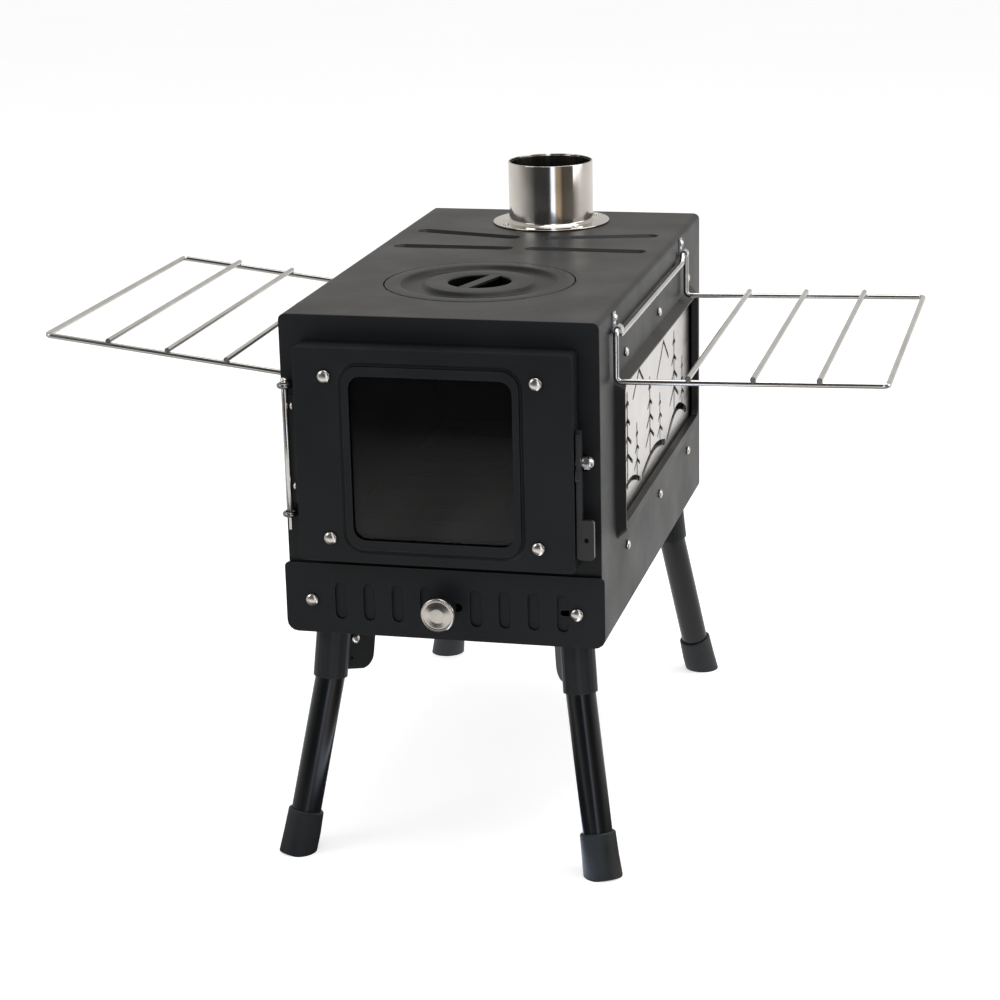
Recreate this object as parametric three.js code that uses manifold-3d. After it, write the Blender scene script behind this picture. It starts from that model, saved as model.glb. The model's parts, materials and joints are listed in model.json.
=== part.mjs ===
// Folding tent wood stove: a sheet-steel firebox on four folding legs, with a glazed door, a sliding air
// vent, a lift-off hob lid, a flue collar, a side window with a cut-out picture plate and two wire racks.
// Millimetres, +Z up, +X to the stove's right, -Y towards the person in front of the door.
// Everything is modelled in the firebox frame (x = 0 in the middle, y = 0 on the front sheet's face,
// z = 0 on the lower edge of the side walls) and moved to the middle of the footprint at the end.
import * as THREE from "three";
import { mergeVertices } from "three/addons/utils/BufferGeometryUtils.js";
import Module from "manifold-3d";

const wasm = await Module();
wasm.setup();

// ---------------------------------------------------------------- driving dimensions
const SHEET = 1.2; // sheet steel of the whole firebox
const SEAT = 0.3; // gap between pieces that lie on each other
const RUN = 0.3; // radial clearance of screws, pins and pivots in their holes

const BODY_WIDTH = 200;
const BODY_LENGTH = 360;
const BODY_HEIGHT = 203;
const BEND_RADIUS = 4; // outer radius of the folded top edges
const FLANGE = 10; // depth of the return flanges on the front and back sheets
const STAND_HEIGHT = 149; // floor to the lower edge of the side walls

const HOB_Y = 108;
const HOB_LID_RADIUS = 61;
const HOB_LID_THICK = 1.5;
const HOB_LID_PROUD = 0.2;
const HOB_LID_GAP = 1; // round the lid
const HOB_GROOVE_INNER = 36;
const HOB_GROOVE_OUTER = 50;
const HOB_GROOVE_DEPTH = 2;
const HOB_CUP_RADIUS = 20.5; // lifter cup in the middle of the lid
const HOB_CUP_DEPTH = 10;
const HOB_BAR_WIDTH = 7.5; // bar across the cup, which the lifter hooks under
const HOB_BAR_ANGLE = 74;
const HOB_LEDGE = 7; // how far the seat ring reaches under the lid

const FLUE_Y = BODY_LENGTH - 42;
const FLUE_OUTER_RADIUS = 30;
const FLUE_WALL = 1;
const FLUE_HEIGHT = 44;
const FLUE_FLANGE_RADIUS = 41.5;
const FLUE_RIVET_CIRCLE = 36;

const RIB_WIDTH = 12.5; // pressed stiffening channels in the top
const RIB_DEPTH = 2.3;
const RIBS = [
  { inner: [10, 217.5], outer: [82, 216.5] },
  { inner: [14, 256], outer: [80, 272] },
];

const DOOR_SIDE_MARGIN = 13; // of the front sheet beside the door
const DOOR_TOP_MARGIN = 16.5; // of the front sheet above it
const DOOR_BOTTOM = 51;
const DOOR_WIDTH = BODY_WIDTH - 2 * DOOR_SIDE_MARGIN;
const DOOR_HEIGHT = BODY_HEIGHT - DOOR_TOP_MARGIN - DOOR_BOTTOM;
const DOOR_DEPTH = 16;
const DOOR_CORNER = 3;
const DOOR_OVERLAP = 9; // of the door over its opening, on each side
const WINDOW_WIDTH = DOOR_WIDTH - 72;
const WINDOW_HEIGHT = DOOR_HEIGHT - 31.5;
const WINDOW_X = -1.2; // middle of the window, which sits a little left of the door's middle and below it
const WINDOW_Z = DOOR_BOTTOM + DOOR_HEIGHT / 2 - 1.4;
const WINDOW_CORNER = 8;
const DOOR_GROOVE_WIDTH = WINDOW_WIDTH + 14; // pressed line round the window
const DOOR_GROOVE_HEIGHT = WINDOW_HEIGHT + 17.6;
const DOOR_GROOVE_CORNER = 14;
const DOOR_GROOVE = 3; // width of that line
const DOOR_GLASS_THICK = 4;
const DOOR_GLASS_MARGIN = { x: 11, z: 9 }; // of the glass beyond the window
const DOOR_SCREW_X = WINDOW_WIDTH / 2 + 14.8; // from the middle of the window
const DOOR_SCREW_Z = WINDOW_HEIGHT / 2 - 0.7;

const SCREW_RADIUS = 1.6;
const SCREW_HEAD_RADIUS = 4.1;
const SCREW_HEAD_HEIGHT = 2.4;
const NUT_RADIUS = 3.4;
const NUT_HEIGHT = 2.6;

const HINGE_X = -BODY_WIDTH / 2 + 5;
const HINGE_Y = -8;
const HINGE_EYE_TOP = DOOR_BOTTOM + DOOR_HEIGHT - 26.5;
const HINGE_EYE_BOTTOM = DOOR_BOTTOM + 27;
const HINGE_PIN_RADIUS = 1.2;
const HINGE_PIN_TAIL = HINGE_EYE_BOTTOM - 10.5;
const HINGE_KNUCKLE_WALL = 0.8;
const HINGE_EYE_WIRE = 1.7;
const HINGE_LEAF_TOP = HINGE_EYE_TOP - 5.7;
const HINGE_LEAF_BOTTOM = HINGE_EYE_BOTTOM + 8.3;
const HINGE_SCREW_SPACING = 51;

const LATCH_Y = -9; // pivot bolt of the door latch
const LATCH_Z = 119.5;
const LATCH_THICK = 3;
const LATCH_FINGER = 21; // reach above the bolt
const LATCH_BAR = 36; // reach below the bolt, down to the thumb plate
const LATCH_WIDTH = 5;
const LATCH_BOLT_RADIUS = 2;
const THUMB_WIDTH = 10.5;
const THUMB_HEIGHT = 25;

const VENT_WIDTH = BODY_WIDTH + 4.6;
const VENT_TOP = 44.6;
const VENT_BOTTOM = -1;
const VENT_TOP_CORNER = 3;
const VENT_BOTTOM_CORNER = 7;
const VENT_SCREW_X = BODY_WIDTH / 2 - 15;
const VENT_SCREW_Z = 20.5;
const VENT_TRAVEL = 9.2;
const VENT_MIDDLE = 5; // x of the slot pattern's middle
const VENT_SLOTS_EACH_SIDE = 4;
const VENT_SLOT_PITCH = 18.4;
const VENT_FIRST_SLOT = 15.9; // from the middle to the nearest slot
const VENT_SLOT_WIDTH = 8;
const VENT_SLOT_HEIGHT = 25;
const SLIDER_THICK = 1;
const KNOB_RADIUS = 11;
const KNOB_STEM_RADIUS = 2.5;
const KNOB_FRONT = -20.4; // y of its face

const SIDE_FRAME = { y0: 46, y1: BODY_LENGTH - 32, z0: 53, z1: BODY_HEIGHT - 45 }; // foot of the pressed-out frame, right wall
const SIDE_FRAME_RISE = 5.5;
const SIDE_FRAME_SLOPE = 4.5;
const SIDE_OPENING = { y0: 52, y1: BODY_LENGTH - 38, z0: 63.5, z1: BODY_HEIGHT - 50.7 };
const SIDE_OPENING_CORNER = 5;
const SIDE_LIP = 4.6; // depth of the lip folded in round the opening
const SIDE_PLATE = { y0: 28, y1: BODY_LENGTH - 15, z0: 32, z1: BODY_HEIGHT - 27 };
const SIDE_PLATE_THICK = 1;
const SIDE_GLASS_THICK = 4;
const SIDE_GLASS_MARGIN = 9; // of the glass beyond the foot of the frame
const SIDE_RIVET_YS = [80, 195, BODY_LENGTH - 54];
const SIDE_RIVET_ZS = { bottom: 40.5, top: BODY_HEIGHT - 36 };
const RIVET_RADIUS = 1.5;
const RIVET_HEAD_RADIUS = 3;
const RIVET_HEAD_HEIGHT = 2;

const PAN_HEIGHT = 11.5; // firebox floor above the lower edge of the walls
const PAN_LIP = 12;
const GRATE_HEIGHT = 45;
const GRATE_MARGIN = 14;
const GRATE_COLUMNS = 2;
const GRATE_ROWS = 8;
const GRATE_SLOT = { length: 70, width: 8, pitchX: 88, pitchY: 36 };

const WIRE_RADIUS = 1.8; // both racks
const RACK_WIDTH = 250; // between the two rails
const RACK_MIDDLE_Y = 159.7;
const RACK_REACH = { right: 164.5, left: 166.5 }; // rails, from the upright wires outwards
const RACK_CROSS_WIRES = [44.5, 84, 124]; // from the upright wires outwards
const RACK_PIVOT_STANDOFF = 3.2; // pivot axis from the wall
const RACK_PIVOT_HEIGHT = BODY_HEIGHT - 13;
const RACK_DROP = { right: 31, left: 34 }; // pivot axis to rails
const RACK_TILT = { right: 1.2, left: 6.9 }; // degrees, outer edge up, at rest
const RACK_BEND = 7;
const RACK_BAR_DROP = 5; // long bar below the pivot axis
const RACK_BAR_INSET = 17; // bar's straight part inside the uprights
const CLIP_INSET = 7.5; // middle of the clip inside the upright
const CLIP_LENGTH = 7;
const CLIP_WALL = 0.8;
const CLIP_RIVET_RISE = 7.5;

const LEG_AZIMUTH = 55; // of each leg's folding plane from the X axis
const LEG_PIVOT = { x: BODY_WIDTH / 2 - 28.7, fromEnd: 32.5, z: -16.5 };
const SOCKET_SPLAY = 8; // degrees from upright
const TUBE_SPLAY = 15.7;
const TUBE_RADIUS = 9.5;
const TUBE_WALL = 1.2;
const SOCKET_WALL = 1.2;
const SOCKET_OFFSET = 15.5; // socket axis outboard of the pivot
const SOCKET_TOP = 21.5; // above the pivot, along the socket
const SOCKET_MOUTH = -23;
const EAR_RADIUS = 17; // of the ears round the pivot
const EAR_CORNER = 9; // of their lower corner
const EAR_GAP = 3; // between the two ears, for the lug
const LUG_THICK = 2.4;
const LEG_BOLT_RADIUS = 1.7;
const CAP_HEIGHT = 27;
const CAP_TOP_RADIUS = 11.4;
const CAP_FOOT_RADIUS = 12.6;

const TUBE_SIDES = 24;
const ROUND = 36; // sides of large circles
const SMALL = 12; // sides of small fasteners

// ---------------------------------------------------------------- materials
const paint = (color, roughness, metalness) =>
  new THREE.MeshStandardMaterial({ color, roughness, metalness });
const MATERIALS = {
  blackSteel: paint(0x1c1c1e, 0.5, 0.3),
  ventSteel: paint(0x1b1c1f, 0.48, 0.3),
  innerSteel: paint(0x2b2a29, 0.7, 0.5),
  stainless: paint(0xc9c8c4, 0.18, 1),
  wire: paint(0xb9b8b4, 0.25, 1),
  fastener: paint(0xcfcbc2, 0.25, 1),
  plate: paint(0xb8b2aa, 0.32, 1),
  glass: new THREE.MeshStandardMaterial({ color: 0x2a2723, roughness: 0.05, transparent: true, opacity: 0.35 }),
  legTube: paint(0x111214, 0.25, 0.4),
  rubber: paint(0x0b0b0b, 0.8, 0),
};

// ---------------------------------------------------------------- solids and cuts
function toSolid(geometry) {
  const bare = geometry.clone();
  bare.deleteAttribute("normal");
  if (bare.getAttribute("uv")) bare.deleteAttribute("uv");
  const merged = mergeVertices(bare, 1e-4);
  return new wasm.Manifold(
    new wasm.Mesh({
      numProp: 3,
      vertProperties: new Float32Array(merged.attributes.position.array),
      triVerts: new Uint32Array(merged.index.array),
    }),
  );
}

function toGeometry(solid) {
  const mesh = solid.getMesh();
  const positions = new Float32Array(mesh.numVert * 3);
  for (let i = 0; i < mesh.numVert; i++) {
    for (let k = 0; k < 3; k++) positions[3 * i + k] = mesh.vertProperties[mesh.numProp * i + k];
  }
  const geometry = new THREE.BufferGeometry();
  geometry.setAttribute("position", new THREE.BufferAttribute(positions, 3));
  geometry.setIndex(new THREE.BufferAttribute(new Uint32Array(mesh.triVerts), 1));
  geometry.computeVertexNormals();
  return geometry;
}

const join = (first, ...rest) => rest.reduce((whole, next) => whole.add(next), first);
const cut = (first, ...rest) => rest.reduce((whole, next) => whole.subtract(next), first);

function addMesh(parent, name, solid, material) {
  const mesh = new THREE.Mesh(toGeometry(solid), material);
  mesh.name = name;
  parent.add(mesh);
  return mesh;
}

// ---------------------------------------------------------------- outlines
const radians = THREE.MathUtils.degToRad;

function roundedRect(a0, a1, b0, b1, lower, upper = lower) {
  const shape = new THREE.Shape();
  shape.moveTo(a0 + lower, b0);
  shape.lineTo(a1 - lower, b0);
  if (lower) shape.absarc(a1 - lower, b0 + lower, lower, -Math.PI / 2, 0);
  shape.lineTo(a1, b1 - upper);
  if (upper) shape.absarc(a1 - upper, b1 - upper, upper, 0, Math.PI / 2);
  shape.lineTo(a0 + upper, b1);
  if (upper) shape.absarc(a0 + upper, b1 - upper, upper, Math.PI / 2, Math.PI);
  shape.lineTo(a0, b0 + lower);
  if (lower) shape.absarc(a0 + lower, b0 + lower, lower, Math.PI, 1.5 * Math.PI);
  return shape;
}

const centredRect = (width, height, middleX, middleZ, corner) =>
  roundedRect(middleX - width / 2, middleX + width / 2, middleZ - height / 2, middleZ + height / 2, corner);

function disc(a, b, radius) {
  const shape = new THREE.Shape();
  shape.absarc(a, b, radius, 0, 2 * Math.PI);
  return shape;
}

// A slot with round ends, from one centre to the other.
function stadium(from, to, radius) {
  const angle = Math.atan2(to[1] - from[1], to[0] - from[0]);
  const shape = new THREE.Shape();
  shape.absarc(to[0], to[1], radius, angle - Math.PI / 2, angle + Math.PI / 2);
  shape.absarc(from[0], from[1], radius, angle + Math.PI / 2, angle + 1.5 * Math.PI);
  return shape;
}

// ---------------------------------------------------------------- extrusions along each axis
const TURN = {
  x: new THREE.Matrix4().makeBasis(new THREE.Vector3(0, 1, 0), new THREE.Vector3(0, 0, 1), new THREE.Vector3(1, 0, 0)),
  y: new THREE.Matrix4().makeBasis(new THREE.Vector3(1, 0, 0), new THREE.Vector3(0, 0, 1), new THREE.Vector3(0, -1, 0)),
  z: new THREE.Matrix4(),
};

function extrude(axis, shape, low, high, curveSegments = 2) {
  const geometry = new THREE.ExtrudeGeometry(shape, { depth: high - low, bevelEnabled: false, curveSegments });
  geometry.applyMatrix4(TURN[axis]);
  const start = axis === "y" ? high : low;
  geometry.translate(axis === "x" ? start : 0, axis === "y" ? start : 0, axis === "z" ? start : 0);
  return toSolid(geometry);
}

// A cylinder along an axis through the given point of the plane across that axis.
const rod = (axis, a, b, radius, low, high, sides = SMALL) =>
  extrude(axis, disc(a, b, radius), low, high, sides / 2);

// A sleeve of rings of points, each ring with as many points as the others, with flat ends.
function loft(rings) {
  const count = rings[0].length;
  const positions = rings.flat().flatMap((p) => [p.x, p.y, p.z]);
  const index = [];
  for (let r = 0; r + 1 < rings.length; r++) {
    for (let i = 0; i < count; i++) {
      const next = (i + 1) % count;
      const a = r * count + i;
      const b = r * count + next;
      index.push(a, b, b + count, a, b + count, a + count);
    }
  }
  const last = (rings.length - 1) * count;
  for (let i = 1; i + 1 < count; i++) {
    index.push(0, i + 1, i);
    index.push(last, last + i, last + i + 1);
  }
  const geometry = new THREE.BufferGeometry();
  geometry.setAttribute("position", new THREE.BufferAttribute(new Float32Array(positions), 3));
  geometry.setIndex(index);
  const solid = toSolid(geometry);
  if (solid.volume() > 0) return solid;
  const flipped = [];
  for (let i = 0; i < index.length; i += 3) flipped.push(index[i], index[i + 2], index[i + 1]);
  geometry.setIndex(flipped);
  return toSolid(geometry);
}

// A turned piece of [radius, height] points, whose axis is laid along the given direction from a point.
const AIM = {
  "+x": new THREE.Matrix4().makeRotationZ(-Math.PI / 2),
  "-x": new THREE.Matrix4().makeRotationZ(Math.PI / 2),
  "+y": new THREE.Matrix4(),
  "-y": new THREE.Matrix4().makeRotationX(Math.PI),
  "+z": new THREE.Matrix4().makeRotationX(Math.PI / 2),
};
function turned(profile, aim, x, y, z, segments = SMALL) {
  const geometry = new THREE.LatheGeometry(profile.map(([r, h]) => new THREE.Vector2(r, h)), segments);
  geometry.applyMatrix4(AIM[aim]);
  geometry.translate(x, y, z);
  return toSolid(geometry);
}

// ---------------------------------------------------------------- bent wire
// A wire's centre line, given by its corner points: straight between them, with an arc at each corner.
class BentWire extends THREE.Curve {
  constructor(corners, bendRadius, arcSteps = 3) {
    super();
    this.points = [corners[0].clone()];
    for (let i = 1; i + 1 < corners.length; i++) {
      const back = corners[i - 1].clone().sub(corners[i]).normalize();
      const on = corners[i + 1].clone().sub(corners[i]).normalize();
      const half = back.angleTo(on) / 2;
      const reach = bendRadius / Math.tan(half);
      const middle = back.clone().add(on).normalize().multiplyScalar(bendRadius / Math.sin(half)).add(corners[i]);
      const from = back.clone().multiplyScalar(reach).add(corners[i]).sub(middle);
      const to = on.clone().multiplyScalar(reach).add(corners[i]).sub(middle);
      const sweep = from.angleTo(to);
      for (let k = 0; k <= arcSteps; k++) {
        const t = k / arcSteps;
        const arm = from
          .clone()
          .multiplyScalar(Math.sin((1 - t) * sweep) / Math.sin(sweep))
          .add(to.clone().multiplyScalar(Math.sin(t * sweep) / Math.sin(sweep)));
        this.points.push(arm.add(middle));
      }
    }
    this.points.push(corners[corners.length - 1].clone());
  }

  get steps() {
    return this.points.length - 1;
  }

  getPoint(t) {
    return this.points[Math.round(t * this.steps)].clone();
  }

  getPointAt(u) {
    return this.getPoint(u);
  }

  getTangentAt(u) {
    const i = Math.round(u * this.steps);
    const before = this.points[Math.max(i - 1, 0)];
    const here = this.points[i];
    const after = this.points[Math.min(i + 1, this.steps)];
    const arriving = here.clone().sub(before).normalize();
    const leaving = after.clone().sub(here).normalize();
    return arriving.add(leaving).normalize();
  }
}

function bentWire(corners, radius, bendRadius, sides = 8) {
  const path = new BentWire(corners, bendRadius);
  const section = new THREE.Shape();
  for (let i = 0; i < sides; i++) {
    const angle = (2 * Math.PI * (i + 0.5)) / sides;
    section[i ? "lineTo" : "moveTo"](radius * Math.cos(angle), radius * Math.sin(angle));
  }
  return toSolid(new THREE.ExtrudeGeometry(section, { steps: path.steps, extrudePath: path, bevelEnabled: false }));
}

const at = (x, y, z) => new THREE.Vector3(x, y, z);

// ---------------------------------------------------------------- fasteners
// A domed screw along Y: its head stands in front of faceY, its shank and nut run back from it.
function frontScrew(x, faceY, z, shankEnd, nutAt) {
  const dome = [
    [0, 0],
    [SCREW_HEAD_RADIUS, 0],
    [SCREW_HEAD_RADIUS, 0.6],
    [SCREW_HEAD_RADIUS * 0.78, SCREW_HEAD_HEIGHT * 0.72],
    [SCREW_HEAD_RADIUS * 0.4, SCREW_HEAD_HEIGHT],
    [0, SCREW_HEAD_HEIGHT],
  ];
  const head = turned(dome, "-y", x, faceY, z, 14);
  const shank = rod("y", x, z, SCREW_RADIUS, faceY - 0.5, shankEnd, 12);
  const nut = rod("y", x, z, NUT_RADIUS, nutAt, nutAt + NUT_HEIGHT, 6);
  return join(head, shank, nut);
}

// A pan-headed rivet along X, through everything between the wall's face and the clamp behind it.
function sideRivet(y, z, faceX, backX) {
  const dome = [
    [0, 0],
    [RIVET_HEAD_RADIUS, 0],
    [RIVET_HEAD_RADIUS, 0.7],
    [RIVET_HEAD_RADIUS * 0.7, RIVET_HEAD_HEIGHT * 0.85],
    [RIVET_HEAD_RADIUS * 0.35, RIVET_HEAD_HEIGHT],
    [0, RIVET_HEAD_HEIGHT],
  ];
  const head = turned(dome, "+x", faceX, y, z, SMALL);
  const shank = rod("x", y, z, RIVET_RADIUS, backX - 1.5, faceX + 0.5, 12);
  const tail = rod("x", y, z, RIVET_HEAD_RADIUS * 0.8, backX - 2, backX - SEAT, 10);
  return join(head, shank, tail);
}

// ---------------------------------------------------------------- firebox
const halfWidth = BODY_WIDTH / 2;
const innerHalf = halfWidth - SHEET;
const topUnder = BODY_HEIGHT - SHEET;
const frontBack = SHEET + SEAT; // y where the wrap starts, behind the front sheet
const wrapEnd = BODY_LENGTH - SHEET - SEAT;

const rivetHole = RIVET_RADIUS + RUN;
const screwHole = SCREW_RADIUS + RUN;

const rackSides = [
  { name: "right", sign: 1 },
  { name: "left", sign: -1 },
];
const rackUprights = [RACK_MIDDLE_Y - RACK_WIDTH / 2, RACK_MIDDLE_Y + RACK_WIDTH / 2];
const clipYs = [rackUprights[0] + CLIP_INSET, rackUprights[1] - CLIP_INSET];
const clipRivetZ = RACK_PIVOT_HEIGHT + CLIP_RIVET_RISE;

function foldedWrap() {
  const outer = roundedRect(-halfWidth, halfWidth, 0, BODY_HEIGHT, 0, BEND_RADIUS);
  const inner = roundedRect(-innerHalf, innerHalf, -1, topUnder, 0, BEND_RADIUS - SHEET);
  return cut(extrude("y", outer, frontBack, wrapEnd), extrude("y", inner, frontBack - 1, wrapEnd + 1));
}

// Rings of a rectangle with rounded corners in the YZ plane, for the pressed-out side frame.
function sideRing(x, frame, inset, corner) {
  const shape = roundedRect(frame.y0 + inset, frame.y1 - inset, frame.z0 + inset, frame.z1 - inset, corner);
  return shape.getPoints(2).slice(0, -1).map((p) => at(x, p.x, p.y));
}

function pressSideFrame(wrap) {
  const corner = 6;
  const rise = halfWidth + SIDE_FRAME_RISE;
  const outside = loft([
    sideRing(innerHalf, SIDE_FRAME, 0, corner),
    sideRing(halfWidth, SIDE_FRAME, 0, corner),
    sideRing(rise, SIDE_FRAME, SIDE_FRAME_SLOPE, corner),
  ]);
  const inside = loft([
    sideRing(innerHalf - 1, SIDE_FRAME, SHEET, corner),
    sideRing(innerHalf, SIDE_FRAME, SHEET, corner),
    sideRing(rise - SHEET, SIDE_FRAME, SIDE_FRAME_SLOPE + SHEET, corner),
  ]);
  const { y0, y1, z0, z1 } = SIDE_OPENING;
  const opening = roundedRect(y0, y1, z0, z1, SIDE_OPENING_CORNER);
  const lipOutline = roundedRect(y0 - SHEET, y1 + SHEET, z0 - SHEET, z1 + SHEET, SIDE_OPENING_CORNER + SHEET);
  const lip = extrude("x", lipOutline, rise - SIDE_LIP, rise - SHEET / 2);
  const hole = extrude("x", opening, innerHalf - 2, rise + 2);
  return cut(join(cut(join(wrap, outside), inside), lip), hole);
}

// One pressed channel in the top sheet: the sheet under it is lowered by as much.
function ribOutline(rib, side, grow, height) {
  const from = [side * rib.inner[0], rib.inner[1]];
  const to = [side * rib.outer[0], rib.outer[1]];
  return stadium(from, to, RIB_WIDTH / 2 + grow)
    .getPoints(3)
    .slice(0, -1)
    .map((p) => at(p.x, p.y, height));
}

function pressRib(wrap, rib, side) {
  const under = loft([
    ribOutline(rib, side, SHEET - 1.5, topUnder - RIB_DEPTH),
    ribOutline(rib, side, SHEET, topUnder),
    ribOutline(rib, side, SHEET, BODY_HEIGHT - SHEET / 2),
  ]);
  const channel = loft([
    ribOutline(rib, side, -2.2, BODY_HEIGHT - RIB_DEPTH),
    ribOutline(rib, side, 0, BODY_HEIGHT),
    ribOutline(rib, side, 0, BODY_HEIGHT + 1),
  ]);
  return cut(join(wrap, under), channel);
}

function bodyWrap() {
  let wrap = pressSideFrame(foldedWrap());
  for (const rib of RIBS) {
    for (const side of [-1, 1]) wrap = pressRib(wrap, rib, side);
  }
  wrap = cut(
    wrap,
    rod("z", 0, HOB_Y, HOB_LID_RADIUS + HOB_LID_GAP, topUnder - 4, BODY_HEIGHT + 4, ROUND),
    rod("z", 0, FLUE_Y, FLUE_OUTER_RADIUS - FLUE_WALL, topUnder - 4, BODY_HEIGHT + 4, ROUND),
  );
  for (const z of Object.values(SIDE_RIVET_ZS)) {
    for (const y of SIDE_RIVET_YS) wrap = cut(wrap, rod("x", y, z, rivetHole, innerHalf - 1, halfWidth + 1, 8));
  }
  for (const { sign } of rackSides) {
    for (const y of clipYs) {
      const wall = sign * (halfWidth - SHEET / 2);
      wrap = cut(wrap, rod("x", y, clipRivetZ, rivetHole, wall - 2, wall + 2, 8));
    }
  }
  return wrap;
}

// A front or back sheet: a flat panel with its side and top edges folded back into the wrap.
function endSheet(faceLow, faceHigh, flangeLow, flangeHigh) {
  const face = extrude("y", roundedRect(-halfWidth, halfWidth, 0, BODY_HEIGHT, 0, BEND_RADIUS), faceLow, faceHigh);
  const reach = innerHalf - SEAT;
  const top = topUnder - SEAT;
  const lift = PAN_HEIGHT + SHEET + PAN_LIP + 2;
  const corner = BEND_RADIUS - SHEET - SEAT;
  const outer = roundedRect(-reach, reach, lift, top, 0, corner);
  const inner = roundedRect(-reach + SHEET, reach - SHEET, lift - 1, top - SHEET, 0, corner - SHEET);
  const low = Math.min(faceLow, flangeLow);
  const high = Math.max(faceHigh, flangeHigh);
  const flanges = cut(extrude("y", outer, flangeLow, flangeHigh), extrude("y", inner, low - 1, high + 1));
  return join(face, flanges);
}

const doorMiddleZ = DOOR_BOTTOM + DOOR_HEIGHT / 2;
const doorFace = -DOOR_DEPTH;
const ventBack = -SEAT; // rear face of the slider
const ventPlateBack = ventBack - SLIDER_THICK - SEAT;
const ventFace = ventPlateBack - SHEET;
const knobX = VENT_MIDDLE - VENT_TRAVEL / 2;
const ventSlotXs = [];
for (let i = 0; i < VENT_SLOTS_EACH_SIDE; i++) {
  ventSlotXs.push(VENT_MIDDLE - VENT_FIRST_SLOT - i * VENT_SLOT_PITCH, VENT_MIDDLE + VENT_FIRST_SLOT + i * VENT_SLOT_PITCH);
}
const latchInnerX = DOOR_WIDTH / 2 + SEAT * 3;
const latchOuterX = latchInnerX + LATCH_THICK;

function frontPanel() {
  const doorway = centredRect(DOOR_WIDTH - 2 * DOOR_OVERLAP, DOOR_HEIGHT - 2 * DOOR_OVERLAP, 0, doorMiddleZ, 4);
  const airway = roundedRect(-halfWidth + 22, halfWidth - 12, PAN_HEIGHT + SHEET + 2, VENT_TOP - 8, 2);
  const latchSlot = roundedRect(latchInnerX - 1, latchOuterX + 1, LATCH_Z - 8, LATCH_Z + 2.6, 0);
  let panel = endSheet(0, SHEET, SHEET / 2, SHEET + FLANGE);
  for (const shape of [doorway, airway, latchSlot]) panel = cut(panel, extrude("y", shape, -1, SHEET + 1));
  for (const x of [-VENT_SCREW_X, VENT_SCREW_X]) {
    panel = cut(panel, rod("y", x, VENT_SCREW_Z, screwHole, -1, SHEET + 1, 8));
  }
  for (const z of [HINGE_EYE_TOP, HINGE_EYE_BOTTOM]) {
    panel = cut(panel, rod("y", HINGE_X, z, HINGE_EYE_WIRE + RUN, -1, SHEET + FLANGE + 1, 8));
  }
  return panel;
}

const backPanel = () =>
  endSheet(BODY_LENGTH - SHEET, BODY_LENGTH, BODY_LENGTH - SHEET - FLANGE, BODY_LENGTH - SHEET / 2);

function bottomPan() {
  const reach = innerHalf - SEAT;
  const lipTop = PAN_HEIGHT + SHEET + PAN_LIP;
  const outer = roundedRect(-reach, reach, PAN_HEIGHT, lipTop, 2, 0);
  const inner = roundedRect(-reach + SHEET, reach - SHEET, PAN_HEIGHT + SHEET, lipTop + 1, 1, 0);
  return cut(extrude("y", outer, frontBack, wrapEnd), extrude("y", inner, frontBack - 1, wrapEnd + 1));
}

// The grate is a drop-in sheet with air slots, standing on its two folded side flanges.
function fireGrate() {
  const reach = innerHalf - 7;
  const foot = PAN_HEIGHT + SHEET + SEAT;
  const outer = roundedRect(-reach, reach, foot, GRATE_HEIGHT, 0, 2);
  const inner = roundedRect(-reach + SHEET, reach - SHEET, foot - 1, GRATE_HEIGHT - SHEET, 0, 1);
  const y0 = GRATE_MARGIN;
  const y1 = BODY_LENGTH - GRATE_MARGIN;
  let grate = cut(extrude("y", outer, y0, y1), extrude("y", inner, y0 - 1, y1 + 1));
  const halfSlot = GRATE_SLOT.length / 2 - GRATE_SLOT.width / 2;
  for (let column = 0; column < GRATE_COLUMNS; column++) {
    for (let row = 0; row < GRATE_ROWS; row++) {
      const x = (column - (GRATE_COLUMNS - 1) / 2) * GRATE_SLOT.pitchX;
      const y = (y0 + y1) / 2 + (row - (GRATE_ROWS - 1) / 2) * GRATE_SLOT.pitchY;
      const slot = stadium([x - halfSlot, y], [x + halfSlot, y], GRATE_SLOT.width / 2);
      grate = cut(grate, extrude("z", slot, GRATE_HEIGHT - SHEET - 1, GRATE_HEIGHT + 1, 2));
    }
  }
  return grate;
}

// ---------------------------------------------------------------- hob and flue
const lidTop = BODY_HEIGHT + HOB_LID_PROUD;
const lidUnder = lidTop - HOB_LID_THICK;

function hobSeatRing() {
  const top = Math.min(lidUnder, topUnder) - SEAT;
  const outer = rod("z", 0, HOB_Y, HOB_LID_RADIUS + HOB_LEDGE, top - SHEET, top, ROUND);
  return cut(outer, rod("z", 0, HOB_Y, HOB_LID_RADIUS - HOB_LEDGE, top - SHEET - 1, top + 1, ROUND));
}

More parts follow.
